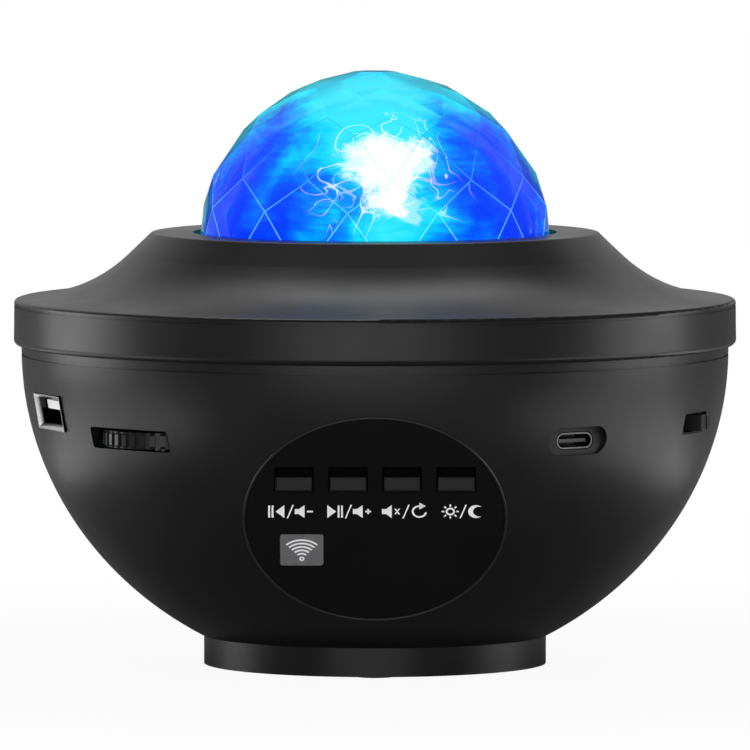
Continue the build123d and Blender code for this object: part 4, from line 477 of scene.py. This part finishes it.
def ink_arc(x, y, radius, width, start, end):
    """Band of ink round a point, between two angles in degrees."""
    steps = max(6, int(abs(end - start) / 7))
    angles = [start + (end - start) * i / steps for i in range(steps + 1)]
    inner, outer = radius - width / 2, radius + width / 2
    return ink_patch(round_points(x, y, outer, angles) + round_points(x, y, inner, reversed(angles)))


def ink_speaker(x):
    return ink_patch([(x - 1.7, -0.6), (x - 0.9, -0.6), (x + 0.3, -1.6),
                      (x + 0.3, 1.6), (x - 0.9, 0.6), (x - 1.7, 0.6)])


def print_ink(name, patches, place, material):
    """Join patches to one printed symbol with the thickness of ink."""
    bpy.ops.object.select_all(action="DESELECT")
    for patch in patches:
        patch.select_set(True)
    bpy.context.view_layer.objects.active = patches[0]
    bpy.ops.object.join()
    symbol = bpy.context.object
    symbol.name = name
    ink = symbol.modifiers.new("ink", "SOLIDIFY")
    ink.thickness = ink_thickness
    ink.offset = 1.0
    bpy.ops.object.modifier_apply(modifier="ink")
    settle(symbol, place)
    symbol.data.materials.clear()
    symbol.data.materials.append(material)
    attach(symbol, "housing")
    return symbol


white_ink = plastic("white_ink", (0.88, 0.88, 0.88), (0.45, 0.6),
                    grain_scale=1500.0, grain_depth=0.000004, specular=0.3)
stroke = 0.4
symbol_height = 2.0
symbol_columns = (-17.5, -5.7, 6.0, 17.9)


def symbol_place(column):
    return panel_place @ Matrix.Translation((column, symbol_height, 0.0))


back_track = [ink_bar(-4.0, 0, stroke, 3.0), ink_bar(-3.3, 0, stroke, 3.0),
              ink_patch([(-2.7, 0), (-0.9, -1.6), (-0.9, 1.6)]),
              ink_slash(0.3), ink_speaker(2.9), ink_bar(4.3, 0, 1.2, stroke)]
print_ink("symbol_back_and_quieter", back_track, symbol_place(symbol_columns[0]), white_ink)
play_pause = [ink_patch([(-4.0, -1.6), (-2.2, 0), (-4.0, 1.6)]),
              ink_bar(-1.7, 0, stroke, 3.0), ink_bar(-1.0, 0, stroke, 3.0),
              ink_slash(0.3), ink_speaker(2.9),
              ink_bar(4.3, 0, 1.2, stroke), ink_bar(4.3, 0, stroke, 1.2)]
print_ink("symbol_play_and_louder", play_pause, symbol_place(symbol_columns[1]), white_ink)
mute_repeat = [ink_speaker(-2.9),
               ink_patch([(-2.1, -0.7), (-1.8, -0.7), (-0.9, 0.7), (-1.2, 0.7)]),
               ink_patch([(-2.1, 0.7), (-1.2, -0.7), (-0.9, -0.7), (-1.8, 0.7)]),
               ink_slash(0.3), ink_arc(3.0, 0, 1.35, stroke, 60, 350),
               ink_patch([(3.0, 0.55), (4.3, 1.35), (3.0, 2.15)])]
print_ink("symbol_mute_and_repeat", mute_repeat, symbol_place(symbol_columns[2]), white_ink)
sun_x, ray_start, ray_end, ray_half = -2.6, 1.2, 1.75, 0.17
light_night = [ink_arc(sun_x, 0, 0.75, stroke, 0, 360)]
for i in range(8):
    turn = radians(45 * i)
    along, across = Vector((cos(turn), sin(turn))), Vector((-sin(turn), cos(turn))) * ray_half
    middle = Vector((sun_x, 0))
    root, tip = middle + along * ray_start, middle + along * ray_end
    light_night.append(ink_patch([tuple(root - across), tuple(tip - across),
                                  tuple(tip + across), tuple(root + across)]))
moon_back = round_points(2.6, 0, 1.6, range(50, 311, 20))
moon_hollow = round_points(3.25, 0, 1.25, range(290, 69, -20))
light_night += [ink_slash(0.0), ink_patch(moon_back + moon_hollow)]
print_ink("symbol_light_and_night", light_night, symbol_place(symbol_columns[3]), white_ink)

# Keys -----------------------------------------------------------------------------------
# Four stepped keys of black plastic, each with the plunger of its switch behind it.
# The nose is polished a little, and the step above it stays matt, with painted shade making it near
# black in its well.
key_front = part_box("play_key")[0][1]
nose_end, well_start = key_front + 0.0008, key_front + 0.0014
key_plastic = plastic("black_key_plastic", (0.006, 0.006, 0.0065), (0.28, 0.34),
                      grain_scale=2600.0, grain_depth=0.000008, specular=0.16)
tree = key_plastic.node_tree
shader = tree.nodes["Principled BSDF"]
axes = add_node(tree, "ShaderNodeSeparateXYZ")
tree.links.new(add_node(tree, "ShaderNodeTexCoord").outputs["Object"], axes.inputs[0])
well = remap(tree, axes.outputs["Y"], nose_end, well_start)
matt = calc(tree, "MAXIMUM", shader.inputs["Roughness"].links[0].from_socket, well)
tree.links.new(matt, shader.inputs["Roughness"])
# Painted shade: on the step in the well the key's colour goes to near black.
shade = add_node(tree, "ShaderNodeMix", data_type="RGBA")
tree.links.new(well, shade.inputs["Factor"])
tree.links.new(shader.inputs["Base Color"].links[0].from_socket, shade.inputs[6])
shade.inputs[7].default_value = (0.001, 0.001, 0.001, 1)
tree.links.new(shade.outputs[2], shader.inputs["Base Color"])
dress(key_plastic, "previous_key", "play_key", "mute_key", "mode_key")
dress(switch_grey, "previous_plunger", "play_plunger", "mute_plunger", "mode_plunger")

# Receiver window ------------------------------------------------------------------------
# A smoky grey square let into the plate in front of the receiver, printed with waves and a dot.
window_plastic = plastic("smoky_window_plastic", (0.135, 0.135, 0.14), (0.22, 0.3),
                         grain_scale=3000.0, grain_depth=0.000003)
dress(window_plastic, "receiver_window")
wave_radii = (1.3, 2.15, 3.0, 3.85, 4.7)
wave_foot, wave_stroke = -2.2, 0.36
window_face = (-14.9, -7.72, -0.1)
waves = [ink_arc(0, wave_foot, radius, wave_stroke, 48, 132) for radius in wave_radii]
waves.append(ink_arc(0, wave_foot, 0.38, 0.32, 0, 360))
waves_place = panel_place @ Matrix.Translation(window_face)
print_ink("symbol_waves", waves, waves_place, white_ink)

# Chassis --------------------------------------------------------------------------------
# Grey moulded frame that carries the light engine, the motor and the turning dome.
chassis_plastic = plastic("grey_chassis_plastic", (0.07, 0.07, 0.075), (0.45, 0.6))
dress(chassis_plastic, "chassis_frame", "dome_retainer_ring")
dress(plated_steel, "chassis_screws", "retainer_screws", "heat_sink_screws", "motor_screws")
dress(plated_steel, "motor_shaft")

# Light engine ---------------------------------------------------------------------------
# Emitters on a white aluminium board over a cast heat sink, clear lenses in a black cup,
# and a brass laser under a small grating in the middle.


def clear_plastic(name, colour, roughness, ior=1.49):
    """Clear plastic with faint flow lines."""
    material, tree, shader = new_material(name)
    place = add_node(tree, "ShaderNodeTexCoord")
    flow = add_node(tree, "ShaderNodeTexNoise", Scale=60.0, Detail=2.0)
    bump = add_node(tree, "ShaderNodeBump", Strength=0.6, Distance=0.00002)
    tree.links.new(place.outputs["Object"], flow.inputs["Vector"])
    tree.links.new(flow.outputs["Fac"], bump.inputs["Height"])
    tree.links.new(bump.outputs["Normal"], shader.inputs["Normal"])
    shader.inputs["Base Color"].default_value = (*colour, 1)
    shader.inputs["Roughness"].default_value = roughness
    shader.inputs["IOR"].default_value = ior
    shader.inputs["Transmission Weight"].default_value = 1.0
    return material


cast_aluminium = metal("cast_sink_aluminium", (0.6, 0.61, 0.63), (0.4, 0.55),
                       brush=(200.0, 200.0, 200.0), depth=0.00001)
dress(cast_aluminium, "heat_sink")
white_board = circuit_board("white_solder_mask", (0.78, 0.78, 0.76), (0.66, 0.66, 0.64),
                            spacing=200.0)
dress(white_board, "led_board")
dress(plastic("yellow_phosphor", (0.82, 0.66, 0.18), (0.4, 0.5)), "led_emitters")
dress(clear_plastic("clear_lens", (0.97, 0.98, 1.0), 0.03), "led_collimators", "star_grating")
dress(metal("turned_brass", (0.74, 0.55, 0.26), (0.2, 0.32)), "laser_module")

# Motor and gears ------------------------------------------------------------------------
# A small geared motor turns a white acetal pinion, in mesh with the ring gear of the ripple dome.
dress(metal("motor_can_steel", (0.62, 0.62, 0.63), (0.25, 0.4)), "drive_motor")
dress(plastic("white_acetal", (0.8, 0.8, 0.77), (0.35, 0.45)), "drive_pinion", "ripple_gear")

# Ripple dome ----------------------------------------------------------------------------
# The inner dome has waves moulded into its outside. Lit from below, it glows deep blue,
# with cyan where the waves gather the light and a white burst over each pair of emitters.
ripple_centre = Vector((0.0, 0.0, 0.0863))
ripple_radius = 0.0335
ripple_seat = 0.08475
ripple_wall = 0.0017
wave_size, wave_height = 0.011, 0.0011
bpy.ops.mesh.primitive_uv_sphere_add(segments=160, ring_count=96, radius=ripple_radius,
                                     location=ripple_centre)
ripple = bpy.context.object
ripple.name = "ripple_dome_lit"
bpy.ops.object.transform_apply(location=True, rotation=True, scale=True)
bpy.ops.object.mode_set(mode="EDIT")
bpy.ops.mesh.select_all(action="SELECT")
bpy.ops.mesh.bisect(plane_co=(0, 0, ripple_seat), plane_no=(0, 0, 1), clear_inner=True)
bpy.ops.object.mode_set(mode="OBJECT")
wave_texture = bpy.data.textures.new("dome_waves", "CLOUDS")
wave_texture.noise_scale = wave_size
wave_texture.noise_depth = 1
waves_modifier = ripple.modifiers.new("waves", "DISPLACE")
waves_modifier.texture = wave_texture
waves_modifier.texture_coords = "LOCAL"
waves_modifier.strength = wave_height
waves_modifier.mid_level = 0.75
bpy.ops.object.modifier_apply(modifier="waves")
wall = ripple.modifiers.new("wall", "SOLIDIFY")
wall.thickness = ripple_wall
wall.offset = -1.0
bpy.ops.object.modifier_apply(modifier="wall")
bpy.ops.object.shade_smooth()


def noise(tree, position, **values):
    node = add_node(tree, "ShaderNodeTexNoise", **values)
    tree.links.new(position, node.inputs["Vector"])
    return node.outputs["Fac"]


def swing(tree, value, amount):
    """A noise value as a swing of that amount round zero."""
    return calc(tree, "MULTIPLY", calc(tree, "SUBTRACT", value, 0.5), amount)


def gathered_light():
    """Node group: the colour of the light that the waves gather, on a sphere of radius 1."""
    lobes, lobe_swing, middle_tone = 3.0, 0.32, 0.50
    lump_swing, streak_swing, top_rise = 1.3, 0.55, 0.55
    deep, blue, sky, cyan, pale = 0.36, 0.50, 0.62, 0.76, 1.0
    burst_spots = (((0.04, 0.81, 0.58), 0.19), ((0.06, 0.92, 0.36), 0.10))
    burst_white = 1.25
    group = bpy.data.node_groups.new("gathered_light", "ShaderNodeTree")
    group.interface.new_socket("Position", in_out="INPUT", socket_type="NodeSocketVector")
    group.interface.new_socket("Colour", in_out="OUTPUT", socket_type="NodeSocketColor")
    start = group.nodes.new("NodeGroupInput").outputs["Position"]
    end = group.nodes.new("NodeGroupOutput").inputs["Colour"]
    link = group.links.new
    axes = add_node(group, "ShaderNodeSeparateXYZ")
    link(start, axes.inputs[0])
    x, y, z = axes.outputs
    azimuth = calc(group, "ARCTAN2", x, calc(group, "MULTIPLY", y, -1.0))
    lobe = calc(group, "COSINE", calc(group, "MULTIPLY", azimuth, lobes))
    lumps = noise(group, start, Scale=2.3, Detail=3.0, Roughness=0.55, Distortion=0.8)
    stretched = add_node(group, "ShaderNodeMapping", Scale=(1.0, 1.0, 7.0))
    link(start, stretched.inputs["Vector"])
    streaks = noise(group, stretched.outputs["Vector"], Scale=3.2, Detail=4.0, Roughness=0.6,
                    Distortion=0.6)
    tone = calc(group, "MULTIPLY_ADD", lobe, lobe_swing, middle_tone)
    tone = calc(group, "ADD", tone, swing(group, lumps, lump_swing))
    tone = calc(group, "ADD", tone, swing(group, streaks, streak_swing))
    tone = calc(group, "ADD", tone, remap(group, z, 0.45, 0.95, 0.0, top_rise))
    colours = add_node(group, "ShaderNodeValToRGB")
    ramp = colours.color_ramp
    ramp.elements[0].position, ramp.elements[0].color = deep, (0.0, 0.035, 0.90, 1)
    ramp.elements[1].position, ramp.elements[1].color = pale, (0.05, 0.90, 0.95, 1)
    ramp.elements.new(blue).color = (0.0, 0.14, 0.95, 1)
    ramp.elements.new(sky).color = (0.0, 0.36, 0.90, 1)
    ramp.elements.new(cyan).color = (0.0, 0.74, 0.86, 1)
    link(tone, colours.inputs["Fac"])
    across = add_node(group, "ShaderNodeCombineXYZ")
    link(calc(group, "MULTIPLY", x, 0.75), across.inputs["X"])
    link(calc(group, "ABSOLUTE", y), across.inputs["Y"])
    link(z, across.inputs["Z"])
    ragged = noise(group, start, Scale=5.0, Detail=5.0, Roughness=0.7, Distortion=1.0)
    near = None
    for spot, size in burst_spots:
        away = add_node(group, "ShaderNodeVectorMath", operation="DISTANCE")
        link(across.outputs[0], away.inputs[0])
        away.inputs[1].default_value = spot
        rim = calc(group, "SUBTRACT", away.outputs["Value"], size)
        near = rim if near is None else calc(group, "MINIMUM", near, rim)
    frayed = calc(group, "ADD", near, swing(group, ragged, 0.34))
    burst = remap(group, frayed, 0.025, -0.02, kind="SMOOTHSTEP")
    curls = noise(group, start, Scale=2.6, Detail=1.0, Roughness=0.4, Distortion=1.6)
    ridge = calc(group, "ABSOLUTE", calc(group, "SUBTRACT", curls, 0.5))
    thread = remap(group, ridge, 0.013, 0.005, kind="SMOOTHSTEP")
    thread = calc(group, "MULTIPLY", thread, remap(group, near, 0.20, 0.08, kind="SMOOTHSTEP"))
    white = calc(group, "MAXIMUM", burst, thread)
    mix = add_node(group, "ShaderNodeMix", data_type="RGBA")
    link(white, mix.inputs["Factor"])
    link(colours.outputs["Color"], mix.inputs[6])
    mix.inputs[7].default_value = (burst_white, burst_white, burst_white, 1)
    link(mix.outputs[2], end)
    return group


light_group = gathered_light()


def sphere_position(tree, radius):
    """Object coordinates carried to a sphere of radius 1 round the centre of the domes."""
    place = add_node(tree, "ShaderNodeTexCoord")
    centre = add_node(tree, "ShaderNodeMapping", Location=tuple(-ripple_centre / radius),
                      Scale=(1 / radius,) * 3)
    tree.links.new(place.outputs["Object"], centre.inputs["Vector"])
    return centre.outputs["Vector"]


def glow(tree, shader, position, strength, rim):
    """The gathered light as emission, falling to a part of itself where the surface turns away."""
    pattern = add_node(tree, "ShaderNodeGroup", node_tree=light_group)
    tree.links.new(position, pattern.inputs["Position"])
    turned = add_node(tree, "ShaderNodeLayerWeight", Blend=0.5).outputs["Facing"]
    part = remap(tree, turned, 0.60, 0.85, 1.0, rim, kind="SMOOTHSTEP")
    fading = add_node(tree, "ShaderNodeVectorMath", operation="SCALE")
    tree.links.new(pattern.outputs["Colour"], fading.inputs[0])
    tree.links.new(part, fading.inputs["Scale"])
    tree.links.new(fading.outputs["Vector"], shader.inputs["Emission Color"])
    shader.inputs["Emission Strength"].default_value = strength


lit_ripples, tree, shader = new_material("lit_ripples")
glow(tree, shader, sphere_position(tree, ripple_radius), strength=0.9, rim=0.35)
shader.inputs["Base Color"].default_value = (0.01, 0.06, 0.25, 1)
shader.inputs["Roughness"].default_value = 0.12
shader.inputs["Specular IOR Level"].default_value = 0.0
ripple.data.materials.append(lit_ripples)
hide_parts("ripple_dome")
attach(ripple, "ripple_unit")

# Dome -----------------------------------------------------------------------------------
# The outer dome is clear moulded plastic, cut with flat facets outside and smooth inside.
# Each facet gathers the light of its own part of the waves, and the edges, slightly rounded
# by the mould, catch it near the foot. A flange holds the dome under the collar.
dome_inner_radius = 0.0343
dome_outer_radius = 0.0373
facet_reach = 0.0355
wall_play = 0.00015
weld_distance = 0.000002
flat_angle = radians(0.8)
edge_radius = 0.00015
edge_angle = radians(12)
smooth_angle = radians(9.5)
edge_slot, wall_slot, facet_slot = 1, 2, 3
facet_play = 0.11
bpy.ops.object.select_all(action="DESELECT")
dome = nodes["dome_lens"].copy()
dome.data = nodes["dome_lens"].data.copy()
dome.name = "dome_faceted"
dome.parent = None
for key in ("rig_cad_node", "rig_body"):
    if key in dome:
        del dome[key]
bpy.context.scene.collection.objects.link(dome)
dome.select_set(True)
bpy.context.view_layer.objects.active = dome
bpy.ops.object.mode_set(mode="EDIT")
bpy.ops.mesh.select_all(action="SELECT")
bpy.ops.mesh.customdata_custom_splitnormals_clear()
bpy.ops.mesh.remove_doubles(threshold=weld_distance)
bpy.ops.mesh.dissolve_limited(angle_limit=flat_angle)
bpy.ops.object.mode_set(mode="OBJECT")

clear_dome = clear_plastic("clear_dome_plastic", (0.97, 0.99, 1.0), 0.015)
edge_light = clear_plastic("dome_edge_light", (0.97, 0.99, 1.0), 0.05)
lit_wall = clear_plastic("lit_dome_wall", (0.05, 0.2, 0.6), 0.05)
lit_facets = clear_plastic("lit_dome_facets", (0.97, 0.99, 1.0), 0.015, ior=1.40)
dome.data.materials.clear()
for material in (clear_dome, edge_light, lit_wall, lit_facets):
    material.node_tree.nodes["Principled BSDF"].inputs["Specular Tint"].default_value = (0, 0, 0, 1)
    dome.data.materials.append(material)

tree = edge_light.node_tree
shader = tree.nodes["Principled BSDF"]
axes = add_node(tree, "ShaderNodeSeparateXYZ")
tree.links.new(sphere_position(tree, dome_outer_radius), axes.inputs[0])
paling = add_node(tree, "ShaderNodeValToRGB")
foot_colour, crown_colour = paling.color_ramp.elements
foot_colour.position, foot_colour.color = 0.15, (0.20, 0.70, 0.95, 1)
crown_colour.position, crown_colour.color = 0.60, (0.0, 0.12, 0.55, 1)
tree.links.new(axes.outputs["Z"], paling.inputs["Fac"])
tree.links.new(paling.outputs["Color"], shader.inputs["Emission Color"])
shader.inputs["Emission Strength"].default_value = 0.6

tree = lit_wall.node_tree
shader = tree.nodes["Principled BSDF"]
glow(tree, shader, sphere_position(tree, dome_inner_radius), strength=0.5, rim=0.35)
shader.inputs["Transmission Weight"].default_value = 0.35
shader.inputs["Specular IOR Level"].default_value = 0.0

tree = lit_facets.node_tree
shader = tree.nodes["Principled BSDF"]
own_part = add_node(tree, "ShaderNodeAttribute", attribute_name="facet_shift")
shifted = add_node(tree, "ShaderNodeVectorMath", operation="ADD")
tree.links.new(sphere_position(tree, dome_outer_radius), shifted.inputs[0])
tree.links.new(own_part.outputs["Vector"], shifted.inputs[1])
glow(tree, shader, shifted.outputs["Vector"], strength=0.26, rim=0.1)

for face in dome.data.polygons:
    outwards = face.center - ripple_centre
    if face.center.z <= ripple_seat:
        continue
    if abs(outwards.length - dome_inner_radius) < wall_play:
        face.material_index = wall_slot
    elif outwards.length > facet_reach and face.normal.dot(outwards) > 0.8 * outwards.length:
        face.material_index = facet_slot
round_edges = dome.modifiers.new("round_edges", "BEVEL")
round_edges.width = edge_radius
round_edges.segments = 2
round_edges.limit_method = "ANGLE"
round_edges.angle_limit = edge_angle
round_edges.material = edge_slot
bpy.ops.object.modifier_apply(modifier="round_edges")
bpy.ops.object.shade_smooth_by_angle(angle=smooth_angle)
draw = random.Random(11)
shifts = dome.data.attributes.new("facet_shift", "FLOAT_VECTOR", "FACE")
for face, shift in zip(dome.data.polygons, shifts.data):
    if face.material_index == facet_slot:
        shift.vector = [draw.uniform(-facet_play, facet_play) for _ in range(3)]
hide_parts("dome_lens")
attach(dome, "housing")
for piece in (ripple, dome):
    self_lit.objects.link(piece)
for entry in self_lit.collection_objects:
    entry.light_linking.link_state = "EXCLUDE"
